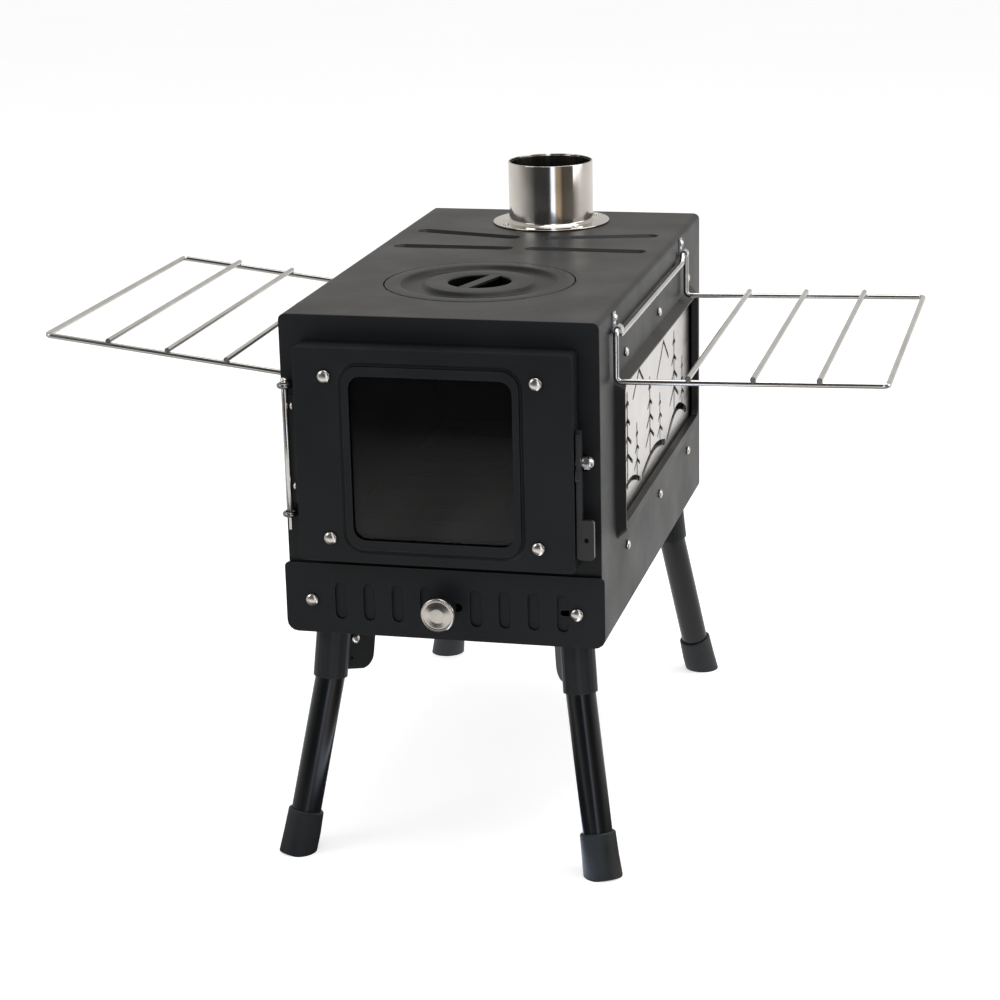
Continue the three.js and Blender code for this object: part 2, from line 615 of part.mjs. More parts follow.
// The lid's profile runs out along its top face and back along its underside, one sheet thick.
function hobLid() {
  const wall = 1.2; // slope of the pressed walls, across
  const upper = [
    [0, -HOB_CUP_DEPTH],
    [HOB_CUP_RADIUS - 1, -HOB_CUP_DEPTH],
    [HOB_CUP_RADIUS, 0],
    [HOB_GROOVE_INNER - 1, 0],
    [HOB_GROOVE_INNER + wall, -HOB_GROOVE_DEPTH],
    [HOB_GROOVE_OUTER - wall, -HOB_GROOVE_DEPTH],
    [HOB_GROOVE_OUTER + 1, 0],
    [HOB_LID_RADIUS, 0],
  ];
  const lower = [
    [HOB_LID_RADIUS, -HOB_LID_THICK],
    [HOB_GROOVE_OUTER + 1.5, -HOB_LID_THICK],
    [HOB_GROOVE_OUTER - wall, -HOB_GROOVE_DEPTH - HOB_LID_THICK],
    [HOB_GROOVE_INNER + wall, -HOB_GROOVE_DEPTH - HOB_LID_THICK],
    [HOB_GROOVE_INNER - 1.5, -HOB_LID_THICK],
    [HOB_CUP_RADIUS + HOB_LID_THICK, -HOB_LID_THICK],
    [HOB_CUP_RADIUS + HOB_LID_THICK - 1, -HOB_CUP_DEPTH - HOB_LID_THICK],
    [0, -HOB_CUP_DEPTH - HOB_LID_THICK],
  ];
  const lid = turned([...upper, ...lower].reverse(), "+z", 0, HOB_Y, lidTop, ROUND);
  const reach = HOB_CUP_RADIUS + 0.5;
  const along = [Math.cos(radians(HOB_BAR_ANGLE)) * reach, Math.sin(radians(HOB_BAR_ANGLE)) * reach];
  const across = [-Math.sin(radians(HOB_BAR_ANGLE)), Math.cos(radians(HOB_BAR_ANGLE))].map((v) => (v * HOB_BAR_WIDTH) / 2);
  const corners = [
    [along[0] + across[0], along[1] + across[1]],
    [-along[0] + across[0], -along[1] + across[1]],
    [-along[0] - across[0], -along[1] - across[1]],
    [along[0] - across[0], along[1] - across[1]],
  ];
  const bar = new THREE.Shape(corners.map(([x, y]) => new THREE.Vector2(x, y + HOB_Y)));
  return join(lid, extrude("z", bar, lidUnder, lidTop));
}

function flueCollar() {
  const inside = FLUE_OUTER_RADIUS - FLUE_WALL;
  const base = BODY_HEIGHT + SEAT;
  const profile = [
    [inside, 0],
    [FLUE_FLANGE_RADIUS, 0],
    [FLUE_FLANGE_RADIUS, FLUE_WALL],
    [FLUE_OUTER_RADIUS + 1.2, FLUE_WALL],
    [FLUE_OUTER_RADIUS + 0.3, FLUE_WALL + 0.4],
    [FLUE_OUTER_RADIUS, FLUE_WALL + 1.4],
    [FLUE_OUTER_RADIUS, FLUE_HEIGHT - SEAT],
    [inside, FLUE_HEIGHT - SEAT],
    [inside, 0],
  ];
  let collar = turned(profile, "+z", 0, FLUE_Y, base, ROUND);
  for (const angle of [40, 130, 220, 310]) {
    const x = FLUE_RIVET_CIRCLE * Math.cos(radians(angle));
    const y = FLUE_Y + FLUE_RIVET_CIRCLE * Math.sin(radians(angle));
    const dome = [
      [0, -0.5],
      [2.3, -0.5],
      [2.3, 0.4],
      [1.2, 1.3],
      [0, 1.3],
    ];
    collar = join(collar, turned(dome, "+z", x, y, base + FLUE_WALL, 10));
  }
  return collar;
}

// ---------------------------------------------------------------- side window
const artFace = innerHalf - SEAT;
const artBack = artFace - SIDE_PLATE_THICK;
const sideGlassFace = artBack - SEAT;
const sideGlassBack = sideGlassFace - SIDE_GLASS_THICK;
const clampFace = artBack - SEAT; // the clamp's flange lies on the picture plate

// A line of the picture, as an outline as wide as the cutter, with round ends.
function stroke(points, width) {
  let line = null;
  for (let i = 0; i + 1 < points.length; i++) {
    const piece = extrude("x", stadium(points[i], points[i + 1], width / 2), artBack - 1, artFace + 1, 1.5);
    line = line ? join(line, piece) : piece;
  }
  return line;
}

// A fir tree: a trunk with pairs of drooping branches, all joined to the trunk and open at their tips.
function firTree(y, foot, height, spread, tiers, width) {
  let tree = stroke(
    [
      [y, foot],
      [y, foot + height],
    ],
    width,
  );
  for (let tier = 0; tier < tiers; tier++) {
    const share = (tier + 1) / (tiers + 0.4);
    const root = foot + height * (1 - 0.82 * share) + 0.1 * height;
    const tip = (spread / 2) * share;
    for (const side of [-1, 1]) {
      tree = join(
        tree,
        stroke(
          [
            [y, root],
            [y + side * tip, root - tip * 0.55],
          ],
          width * 0.85,
        ),
      );
    }
  }
  return tree;
}

// The picture plate: hills, a far ridge and a stand of firs, cut through the sheet as open lines.
function artPlate() {
  const { y0, y1, z0, z1 } = SIDE_PLATE;
  const plate = extrude("x", roundedRect(y0, y1, z0, z1, 4), artBack, artFace);
  const ground = SIDE_OPENING.z0 + 5;
  const hill = (from, to, rise, width) => {
    const points = [];
    for (let i = 0; i <= 8; i++) {
      const t = i / 8;
      points.push([from + (to - from) * t, ground + rise * Math.sin(Math.PI * t)]);
    }
    return stroke(points, width);
  };
  const cuts = [
    hill(62, 134, 9, 3.4),
    hill(142, 226, 7, 4.2),
    hill(234, 312, 12, 5),
    firTree(92, ground + 6, 62, 36, 4, 3.4),
    firTree(124, ground + 2, 38, 20, 3, 2.8),
    firTree(170, ground + 5, 54, 32, 4, 3.2),
    firTree(207, ground + 3, 36, 21, 3, 2.8),
    firTree(262, ground + 9, 60, 36, 4, 3.4),
    firTree(294, ground + 6, 38, 19, 3, 2.8),
    stroke(
      [
        [112, ground + 60],
        [133, ground + 74],
        [150, ground + 62],
      ],
      2.6,
    ),
    stroke(
      [
        [196, ground + 52],
        [222, ground + 72],
        [240, ground + 57],
      ],
      2.6,
    ),
  ];
  for (const z of Object.values(SIDE_RIVET_ZS)) {
    for (const y of SIDE_RIVET_YS) cuts.push(rod("x", y, z, rivetHole, artBack - 1, artFace + 1, 8));
  }
  return cut(plate, ...cuts);
}

const glassEdge = {
  y0: SIDE_OPENING.y0 - SIDE_GLASS_MARGIN,
  y1: SIDE_OPENING.y1 + SIDE_GLASS_MARGIN,
  z0: SIDE_OPENING.z0 - SIDE_GLASS_MARGIN,
  z1: SIDE_OPENING.z1 + SIDE_GLASS_MARGIN - 4,
};
const grown = (frame, by) => [frame.y0 - by, frame.y1 + by, frame.z0 - by, frame.z1 + by];

const sideGlass = () => extrude("x", roundedRect(...grown(glassEdge, 0), 3), sideGlassBack, sideGlassFace);

// A hat-section frame: its outer flange takes the rivets, its inner ledge holds the glass.
function sideClampFrame() {
  const { y0, y1, z0, z1 } = SIDE_PLATE;
  const back = sideGlassBack - SEAT - SHEET;
  const flange = extrude("x", roundedRect(y0, y1, z0, z1, 4), clampFace - SHEET, clampFace);
  const walls = extrude("x", roundedRect(...grown(glassEdge, SEAT + SHEET), 4), back, clampFace);
  const pocket = extrude("x", roundedRect(...grown(glassEdge, SEAT), 3), back + SHEET, clampFace + 1);
  const lookThrough = extrude("x", roundedRect(...grown(glassEdge, -5), 3), back - 1, clampFace + 1);
  let frame = cut(join(flange, walls), pocket, lookThrough);
  for (const z of Object.values(SIDE_RIVET_ZS)) {
    for (const y of SIDE_RIVET_YS) frame = cut(frame, rod("x", y, z, rivetHole, back - 1, clampFace + 1, 8));
  }
  return frame;
}

// ---------------------------------------------------------------- door
const doorSkinBack = doorFace + SHEET;
const grooveDepth = 1;
const doorGlassFront = doorSkinBack + grooveDepth + SEAT;
const doorGlassBack = doorGlassFront + DOOR_GLASS_THICK;
const clampFront = doorGlassBack + SEAT;
const glassWidth = WINDOW_WIDTH + 2 * DOOR_GLASS_MARGIN.x;
const glassHeight = WINDOW_HEIGHT + 2 * DOOR_GLASS_MARGIN.z;
const doorScrews = [-1, 1].flatMap((side) =>
  [-1, 1].map((up) => [WINDOW_X + side * DOOR_SCREW_X, WINDOW_Z + up * DOOR_SCREW_Z]),
);
// A rectangle round the middle of the window, which the pressed line, the glass and its clamp share.
const windowRect = (width, height, corner) => centredRect(width, height, WINDOW_X, WINDOW_Z, corner);

function doorRing(y, width, height, corner) {
  return windowRect(width, height, corner)
    .getPoints(3)
    .slice(0, -1)
    .map((p) => at(p.x, y, p.y));
}

function doorPanel() {
  const top = DOOR_BOTTOM + DOOR_HEIGHT;
  const side = DOOR_WIDTH / 2;
  const outer = roundedRect(-side, side, DOOR_BOTTOM, top, DOOR_CORNER);
  const inner = roundedRect(-side + SHEET, side - SHEET, DOOR_BOTTOM + SHEET, top - SHEET, DOOR_CORNER - SHEET);
  const shell = cut(extrude("y", outer, doorFace, -SEAT), extrude("y", inner, doorSkinBack, 1));
  const ridge = extrude(
    "y",
    windowRect(DOOR_GROOVE_WIDTH, DOOR_GROOVE_HEIGHT, DOOR_GROOVE_CORNER),
    doorSkinBack - SHEET / 2,
    doorSkinBack + grooveDepth,
  );
  const inRidge = 2 * DOOR_GROOVE + 2;
  const ridgeHole = extrude(
    "y",
    windowRect(DOOR_GROOVE_WIDTH - inRidge, DOOR_GROOVE_HEIGHT - inRidge, DOOR_GROOVE_CORNER - 4),
    doorSkinBack - SHEET,
    doorSkinBack + 2,
  );
  const slope = 1.6;
  const [gw, gh, gc] = [DOOR_GROOVE_WIDTH, DOOR_GROOVE_HEIGHT, DOOR_GROOVE_CORNER];
  const grooveFloor = doorFace + grooveDepth + 0.2;
  const grooveOuter = loft([
    doorRing(doorFace - 1, gw, gh, gc),
    doorRing(doorFace, gw, gh, gc),
    doorRing(grooveFloor, gw - slope * 2, gh - slope * 2, gc - slope),
  ]);
  const w = 2 * DOOR_GROOVE;
  const grooveInner = loft([
    doorRing(doorFace - 2, gw - w, gh - w, gc - DOOR_GROOVE),
    doorRing(doorFace, gw - w, gh - w, gc - DOOR_GROOVE),
    doorRing(grooveFloor + 0.01, gw - w + 1, gh - w + 1, gc - DOOR_GROOVE + 0.5),
  ]);
  const windowHole = extrude(
    "y",
    windowRect(WINDOW_WIDTH, WINDOW_HEIGHT, WINDOW_CORNER),
    doorFace - 1,
    doorSkinBack + 3,
  );
  const ridgeRing = cut(ridge, ridgeHole);
  let panel = cut(join(shell, ridgeRing), cut(grooveOuter, grooveInner), windowHole);
  for (const [x, z] of doorScrews) panel = cut(panel, rod("y", x, z, screwHole, doorFace - 1, doorSkinBack + 1, 8));
  panel = cut(panel, rod("x", LATCH_Y, LATCH_Z, LATCH_BOLT_RADIUS + RUN, side - 3, side + 1, 8));
  for (const z of leafScrewZs) {
    panel = cut(panel, rod("x", leafScrewY, z, rivetHole, -side - 1, -side + SHEET + 1, 8));
  }
  return panel;
}

const doorGlass = () =>
  extrude("y", windowRect(glassWidth, glassHeight, 4), doorGlassFront, doorGlassBack);

// The frame that holds the door glass: a tray whose rim stands on the door skin.
function glassClamp() {
  const width = 2 * DOOR_SCREW_X + 14;
  const height = glassHeight + 4;
  const outer = extrude("y", windowRect(width, height, 5), doorSkinBack + SEAT, clampFront + SHEET);
  const hollow = extrude("y", windowRect(width - 2 * SHEET, height - 2 * SHEET, 4), doorSkinBack - 1, clampFront);
  const lookThrough = extrude(
    "y",
    windowRect(WINDOW_WIDTH + 8, WINDOW_HEIGHT + 8, 8),
    doorSkinBack,
    clampFront + SHEET + 1,
  );
  let clamp = cut(outer, hollow, lookThrough);
  for (const [x, z] of doorScrews) {
    clamp = cut(clamp, rod("y", x, z, screwHole, clampFront - 1, clampFront + SHEET + 1, 8));
  }
  return clamp;
}

// ---------------------------------------------------------------- hinge
const knuckleInner = HINGE_PIN_RADIUS + RUN;
const knuckleOuter = knuckleInner + HINGE_KNUCKLE_WALL;
const eyeRing = HINGE_PIN_RADIUS + RUN + 0.1 + HINGE_EYE_WIRE;
const leafScrewY = HINGE_Y - 4;
const leafMiddleZ = (HINGE_LEAF_TOP + HINGE_LEAF_BOTTOM) / 2 + 2.5;
const leafScrewZs = [leafMiddleZ - HINGE_SCREW_SPACING / 2, leafMiddleZ + HINGE_SCREW_SPACING / 2];
const leafOuterX = -DOOR_WIDTH / 2 - SEAT - SHEET;

function hingeLeaf() {
  const knuckle = rod(
    "z",
    HINGE_X,
    HINGE_Y,
    knuckleOuter,
    HINGE_EYE_BOTTOM + HINGE_EYE_WIRE + SEAT,
    HINGE_EYE_TOP - HINGE_EYE_WIRE - SEAT,
    8,
  );
  const bore = rod("z", HINGE_X, HINGE_Y, knuckleInner, HINGE_EYE_BOTTOM, HINGE_EYE_TOP, 12);
  const leaf = extrude(
    "x",
    roundedRect(doorFace + 1, -3, HINGE_LEAF_BOTTOM, HINGE_LEAF_TOP, 2),
    leafOuterX,
    leafOuterX + SHEET,
  );
  const web = extrude(
    "y",
    roundedRect(HINGE_X, leafOuterX + SHEET / 2, HINGE_LEAF_BOTTOM, HINGE_LEAF_TOP, 0),
    HINGE_Y - SHEET / 2,
    HINGE_Y + SHEET / 2,
  );
  let leafWithScrews = cut(join(knuckle, leaf, web), bore);
  for (const z of leafScrewZs) {
    const head = [
      [0, 0],
      [2.5, 0],
      [2.5, 1.2],
      [1.2, 2.2],
      [0, 2.2],
    ];
    leafWithScrews = join(
      leafWithScrews,
      turned(head, "-x", leafOuterX + 0.2, leafScrewY, z, 12),
      rod("x", leafScrewY, z, RIVET_RADIUS, leafOuterX, -DOOR_WIDTH / 2 + SHEET + 2, 8),
    );
  }
  return leafWithScrews;
}

function hingePin() {
  const top = HINGE_EYE_TOP + HINGE_EYE_WIRE + SEAT;
  const pin = rod("z", HINGE_X, HINGE_Y, HINGE_PIN_RADIUS, HINGE_PIN_TAIL, top + 1, 10);
  const head = [
    [0, 0],
    [2.7, 0],
    [2.7, 1.4],
    [1.6, 3],
    [0, 3],
  ];
  return join(pin, turned(head, "+z", HINGE_X, HINGE_Y, top, 16));
}

// An eye bolt: a wire ring round the pin, on a shank through the front sheet with its nut behind.
function hingeEye(z) {
  const ring = new THREE.TorusGeometry(eyeRing, HINGE_EYE_WIRE, 8, 16);
  ring.translate(HINGE_X, HINGE_Y, z);
  const nutStart = SHEET + FLANGE + SEAT;
  const shank = rod("y", HINGE_X, z, HINGE_EYE_WIRE, HINGE_Y + eyeRing, nutStart + NUT_HEIGHT, 8);
  const nut = rod("y", HINGE_X, z, HINGE_EYE_WIRE + 1, nutStart, nutStart + NUT_HEIGHT, 6);
  return join(toSolid(ring), shank, nut);
}

// ---------------------------------------------------------------- latch
// The lever's side view: a finger above the bolt, a nose through the front sheet and a bar below.
function latchLever() {
  const half = LATCH_WIDTH / 2;
  const barY = LATCH_Y - 2.4;
  const hub = disc(LATCH_Y, LATCH_Z, 4.4);
  const finger = stadium([barY, LATCH_Z], [barY, LATCH_Z + LATCH_FINGER - half], half);
  const bar = stadium([barY, LATCH_Z], [barY, LATCH_Z - LATCH_BAR], half);
  const nose = roundedRect(LATCH_Y, SHEET + 4, LATCH_Z - 2.4, LATCH_Z + 1.8, 0);
  const tooth = roundedRect(SHEET + SEAT * 1.5, SHEET + 4, LATCH_Z, LATCH_Z + 4.6, 0.8);
  const fold = stadium([barY - 1, LATCH_Z - 4], [barY - 3.2, LATCH_Z - 8], 2.6);
  const [firstShape, ...others] = [hub, finger, bar, nose, tooth, fold];
  let lever = extrude("x", firstShape, latchInnerX, latchOuterX);
  for (const shape of others) lever = join(lever, extrude("x", shape, latchInnerX, latchOuterX));
  const thumbTop = LATCH_Z - LATCH_BAR + 1;
  const thumbBack = barY - half + LATCH_THICK;
  const thumbShape = roundedRect(latchInnerX, latchInnerX + THUMB_WIDTH, thumbTop - THUMB_HEIGHT, thumbTop, 2);
  const thumb = extrude("y", thumbShape, thumbBack - LATCH_THICK, thumbBack);
  const thumbHole = rod("y", latchInnerX + THUMB_WIDTH * 0.55, thumbTop - THUMB_HEIGHT / 2, 1.6, doorFace - 3, 0, 10);
  return cut(
    join(lever, thumb),
    thumbHole,
    rod("x", LATCH_Y, LATCH_Z, LATCH_BOLT_RADIUS + RUN, latchInnerX - 1, latchOuterX + 1, 10),
  );
}

const latchNutX = latchOuterX + 1.4;

function latchBolt() {
  const inside = DOOR_WIDTH / 2 - SHEET - SEAT;
  const head = rod("x", LATCH_Y, LATCH_Z, 3.6, inside - 2.4, inside, 6);
  const shank = rod("x", LATCH_Y, LATCH_Z, LATCH_BOLT_RADIUS, inside - 1, latchNutX + 2, 10);
  const washer = rod("x", LATCH_Y, LATCH_Z, 3.2, latchOuterX + SEAT, latchOuterX + SEAT + 0.8, 12);
  return join(head, shank, washer);
}

function latchNut() {
  const hex = rod("x", LATCH_Y, LATCH_Z, 4.2, latchNutX, latchNutX + 3.4, 6);
  const dome = turned(
    [
      [0, 0],
      [3.3, 0],
      [3.1, 1],
      [2, 2],
      [0, 2.3],
    ],
    "+x",
    latchNutX + 3.2,
    LATCH_Y,
    LATCH_Z,
    12,
  );
  const bore = rod("x", LATCH_Y, LATCH_Z, LATCH_BOLT_RADIUS + 0.1, latchNutX - 1, latchNutX + 2.2, 10);
  return cut(join(hex, dome), bore);
}

// ---------------------------------------------------------------- air vent
const ventSlotMiddle = VENT_SCREW_Z + 0.3;
const ventSlotShape = (x) => {
  const reach = (VENT_SLOT_HEIGHT - VENT_SLOT_WIDTH) / 2;
  return stadium([x, ventSlotMiddle - reach], [x, ventSlotMiddle + reach], VENT_SLOT_WIDTH / 2);
};
const knobSlot = stadium(
  [knobX, VENT_SCREW_Z],
  [knobX + VENT_TRAVEL, VENT_SCREW_Z],
  KNOB_STEM_RADIUS + RUN,
);

function ventPlate() {
  const outline = roundedRect(
    -VENT_WIDTH / 2,
    VENT_WIDTH / 2,
    VENT_BOTTOM,
    VENT_TOP,
    VENT_BOTTOM_CORNER,
    VENT_TOP_CORNER,
  );
  let plate = extrude("y", outline, ventFace, ventPlateBack);
  for (const x of ventSlotXs) plate = cut(plate, extrude("y", ventSlotShape(x), ventFace - 1, ventPlateBack + 1));
  for (const x of [-VENT_SCREW_X, VENT_SCREW_X]) {
    plate = cut(plate, rod("y", x, VENT_SCREW_Z, screwHole, ventFace - 1, ventPlateBack + 1, 8));
  }
  return cut(plate, extrude("y", knobSlot, ventFace - 1, ventPlateBack + 1));
}

// The slider's slots lie between the plate's slots at rest and behind them when it is pulled open.
function ventSlider() {
  const reach = VENT_SCREW_X + 3 * SCREW_RADIUS;
  const outline = roundedRect(-reach - VENT_TRAVEL, reach, 4.5, VENT_TOP - 5, 2);
  let slider = extrude("y", outline, ventBack - SLIDER_THICK, ventBack);
  for (const x of ventSlotXs) {
    slider = cut(slider, extrude("y", ventSlotShape(x - VENT_TRAVEL), ventBack - SLIDER_THICK - 1, ventBack + 1, 2));
  }
  for (const x of [-VENT_SCREW_X, VENT_SCREW_X]) {
    const guide = stadium([x - VENT_TRAVEL, VENT_SCREW_Z], [x, VENT_SCREW_Z], SCREW_RADIUS + RUN);
    slider = cut(slider, extrude("y", guide, ventBack - SLIDER_THICK - 1, ventBack + 1));
  }
  return slider;
}

function ventKnob() {
  const start = ventBack - SLIDER_THICK - SEAT; // its stem stands on the slider
  const length = start - KNOB_FRONT;
  const collar = start - ventFace + SEAT;
  const profile = [
    [0, 0],
    [KNOB_STEM_RADIUS, 0],
    [KNOB_STEM_RADIUS, collar],
    [5.2, collar],
    [5.2, collar + 2.4],
    [3.2, collar + 2.8],
    [3.2, length - 7.6],
    [KNOB_RADIUS - 1.2, length - 6.6],
    [KNOB_RADIUS, length - 5],
    [KNOB_RADIUS, length - 2.2],
    [KNOB_RADIUS - 1.2, length - 1.2],
    [KNOB_RADIUS - 2.2, length - 1.4],
    [KNOB_RADIUS * 0.4, length - 0.3],
    [0, length],
  ];
  return turned(profile, "-y", knobX, start, VENT_SCREW_Z, 24);
}

// ---------------------------------------------------------------- wire racks
// Each rack is one closed loop of wire: rails, outer edge, uprights, and a long bar by the wall, whose
// two ends run through the clips that it turns in. Cross wires lie on the rails.
function rackFrame(side) {
  const axisX = halfWidth + RACK_PIVOT_STANDOFF;
  const drop = RACK_DROP[side.name];
  const reach = RACK_REACH[side.name];
  const tilt = radians(RACK_TILT[side.name]);
  const out = (r, y, up = 0) =>
    at(
      side.sign * (axisX + r * Math.cos(tilt) - up * Math.sin(tilt)),
      y,
      RACK_PIVOT_HEIGHT - drop + r * Math.sin(tilt) + up * Math.cos(tilt),
    );
  const [front, rear] = rackUprights;
  const pivot = (y) => at(side.sign * axisX, y, RACK_PIVOT_HEIGHT);
  const bar = (y) => at(side.sign * axisX, y, RACK_PIVOT_HEIGHT - RACK_BAR_DROP);
  const tipEnd = CLIP_INSET + CLIP_LENGTH / 2 + 1.5;
  const [barFront, barRear] = [front + RACK_BAR_INSET, rear - RACK_BAR_INSET];
  const loop = [
    bar(barFront + 8),
    bar(barFront),
    pivot(front + tipEnd),
    pivot(front),
    out(0, front),
    out(reach, front),
    out(reach, rear),
    out(0, rear),
    pivot(rear),
    pivot(rear - tipEnd),
    bar(barRear),
    bar(barRear - 8),
  ];
  const splice = WIRE_RADIUS - 0.15; // the middle of the bar is let into the ends of the loop
  let rack = join(
    bentWire(loop, WIRE_RADIUS, RACK_BEND / 2),
    bentWire([bar(barFront + 5), bar(barRear - 5)], splice, 1),
  );
  for (const r of RACK_CROSS_WIRES) {
    const level = 1.6 * WIRE_RADIUS;
    const ends = [out(r, front - WIRE_RADIUS, level), out(r, rear + WIRE_RADIUS, level)];
    rack = join(rack, bentWire(ends, WIRE_RADIUS, 1));
  }
  return rack;
}

// A clip: a strap riveted to the wall, rolled round the wire at its lower end.
function rackClip(side, y) {
  const axisX = halfWidth + RACK_PIVOT_STANDOFF;
  const inner = WIRE_RADIUS + RUN;
  const outer = inner + CLIP_WALL;
  const low = y - CLIP_LENGTH / 2;
  const high = y + CLIP_LENGTH / 2;
  const strapIn = halfWidth + SEAT;
  const strapTop = clipRivetZ + RIVET_HEAD_RADIUS;
  const xs = [side.sign * strapIn, side.sign * (strapIn + CLIP_WALL)].sort((a, b) => a - b);
  const strap = extrude("y", roundedRect(xs[0], xs[1], RACK_PIVOT_HEIGHT, strapTop, 0), low, high);
  const roll = rod("y", side.sign * axisX, RACK_PIVOT_HEIGHT, outer, low, high, 12);
  const bore = rod("y", side.sign * axisX, RACK_PIVOT_HEIGHT, inner, low - 1, high + 1, 12);
  const head = [
    [0, 0],
    [2.6, 0],
    [2.6, 0.7],
    [1.4, 1.7],
    [0, 1.7],
  ];
  const aim = side.sign > 0 ? "+x" : "-x";
  const faceX = side.sign * (strapIn + CLIP_WALL - 0.2);
  const shankIn = side.sign * (innerHalf - 2);
  const shank = rod("x", y, clipRivetZ, RIVET_RADIUS, Math.min(shankIn, faceX), Math.max(shankIn, faceX), 8);
  return join(cut(join(roll, strap), bore), shank, turned(head, aim, faceX, y, clipRivetZ, 12));
}

// ---------------------------------------------------------------- legs
// Leg pieces are made in the leg's own frame: pivot at the origin, +X inboard, +Y along the pivot
// bolt and +Z up the socket. The socket and the tube splay outwards, the tube a little more.
const socketInner = TUBE_RADIUS + RUN;
const socketOuter = socketInner + SOCKET_WALL;
const extraSplay = radians(TUBE_SPLAY - SOCKET_SPLAY);
const tubeDirection = at(-Math.sin(extraSplay), 0, -Math.cos(extraSplay));
const footDrop = STAND_HEIGHT + LEG_PIVOT.z; // pivot above the floor
const mouth = at(-SOCKET_OFFSET, 0, SOCKET_MOUTH);

const tiltedUp = (x, z) => -x * Math.sin(radians(SOCKET_SPLAY)) + z * Math.cos(radians(SOCKET_SPLAY));
const mouthHeight = tiltedUp(mouth.x, mouth.z);
const tubeLength = (footDrop + mouthHeight) / Math.cos(radians(TUBE_SPLAY));

function ring(centre, direction, radius, segments) {
  const facing = new THREE.Quaternion().setFromUnitVectors(at(0, 0, 1), direction.clone().normalize());
  const points = [];
  for (let i = 0; i < segments; i++) {
    const angle = (2 * Math.PI * i) / segments;
    points.push(at(radius * Math.cos(angle), radius * Math.sin(angle), 0).applyQuaternion(facing).add(centre));
  }
  return points;
}

const tubePoint = (distance) => mouth.clone().addScaledVector(tubeDirection, distance);
const downwards = at(0, 0, -1);
const bisector = downwards.clone().add(tubeDirection).normalize();

function legTubeSolid(radius, top, bottom) {
  return loft([
    ring(at(-SOCKET_OFFSET, 0, top), downwards, radius, TUBE_SIDES),
    ring(mouth, bisector, radius, TUBE_SIDES),
    ring(tubePoint(bottom), tubeDirection, radius, TUBE_SIDES),
  ]);
}

const capInnerEnd = 5; // rubber under the end of the tube
function legTube() {
  const end = tubeLength - capInnerEnd - SEAT - 4;
  return cut(
    legTubeSolid(TUBE_RADIUS, SOCKET_TOP - 2, end),
    legTubeSolid(TUBE_RADIUS - TUBE_WALL, SOCKET_TOP, end + 2),
  );
}

function legSocket() {
  const sleeve = extrude("z", disc(-SOCKET_OFFSET, 0, socketOuter), SOCKET_MOUTH, SOCKET_TOP, TUBE_SIDES / 2);
  const half = EAR_GAP / 2 + SOCKET_WALL;
  const ear = new THREE.Shape();
  ear.moveTo(-SOCKET_OFFSET, SOCKET_TOP - 3);
  ear.lineTo(-SOCKET_OFFSET, SOCKET_MOUTH + 2);
  ear.lineTo(-SOCKET_OFFSET + socketOuter, SOCKET_MOUTH + 3);
  ear.absarc(EAR_RADIUS - EAR_CORNER, SOCKET_MOUTH + 2 + EAR_CORNER, EAR_CORNER, radians(-85), 0);
  ear.absarc(0, 0, EAR_RADIUS, 0, radians(96));
  ear.closePath();
  const ears = extrude("y", ear, -half, half, 5);
  const bore = extrude("z", disc(-SOCKET_OFFSET, 0, socketInner), SOCKET_MOUTH - 1, SOCKET_TOP + 1, TUBE_SIDES / 2);
  const slit = extrude(
    "y",
    roundedRect(-SOCKET_OFFSET, EAR_RADIUS + 2, SOCKET_MOUTH - 2, SOCKET_TOP + 4, 0),
    -EAR_GAP / 2,
    EAR_GAP / 2,
  );
  const boltHole = rod("y", 0, 0, LEG_BOLT_RADIUS + RUN, -half - 1, half + 1, 10);
  const catchHole = rod("y", -1, -13, 1.1, -half - 1, half + 1, 8);
  return cut(join(sleeve, ears), bore, slit, boltHole, catchHole);
}

// The bolt's head is on the side of the ears that faces the front of the stove.
function legBolt(side) {
  const half = EAR_GAP / 2 + SOCKET_WALL + SEAT;
  const head = [
    [0, 0],
    [3.3, 0],
    [3.3, 0.8],
    [1.6, 2],
    [0, 2],
  ];
  const shank = rod("y", 0, 0, LEG_BOLT_RADIUS, -half - 3, half + 0.5, 10);
  const nut = rod("y", 0, 0, 3, -half - 2.4, -half, 6);
  const bolt = join(shank, nut, turned(head, "+y", 0, half, 0, 12));
  return side > 0 ? bolt : bolt.rotate([180, 0, 0]);
}

// The rubber foot follows the tube, flares a little and is cut flat where it stands.
function footCap() {
  const direction = tubeDirection;
  const start = tubeLength - CAP_HEIGHT;
  const outside = loft([
    ring(tubePoint(start), direction, CAP_TOP_RADIUS, TUBE_SIDES),
    ring(tubePoint(start + CAP_HEIGHT * 0.55), direction, CAP_TOP_RADIUS + 0.4, TUBE_SIDES),
    ring(tubePoint(tubeLength + 8), direction, CAP_FOOT_RADIUS, TUBE_SIDES),
  ]);
  const inside = loft([
    ring(tubePoint(start - 2), direction, TUBE_RADIUS + RUN, TUBE_SIDES),
    ring(tubePoint(tubeLength - capInnerEnd - 4), direction, TUBE_RADIUS + RUN, TUBE_SIDES),
  ]);
  const floor = new THREE.BoxGeometry(200, 200, 40);
  floor.translate(0, 0, -footDrop - 20);
  floor.rotateY(-radians(SOCKET_SPLAY));
  return cut(outside, inside, toSolid(floor));
}

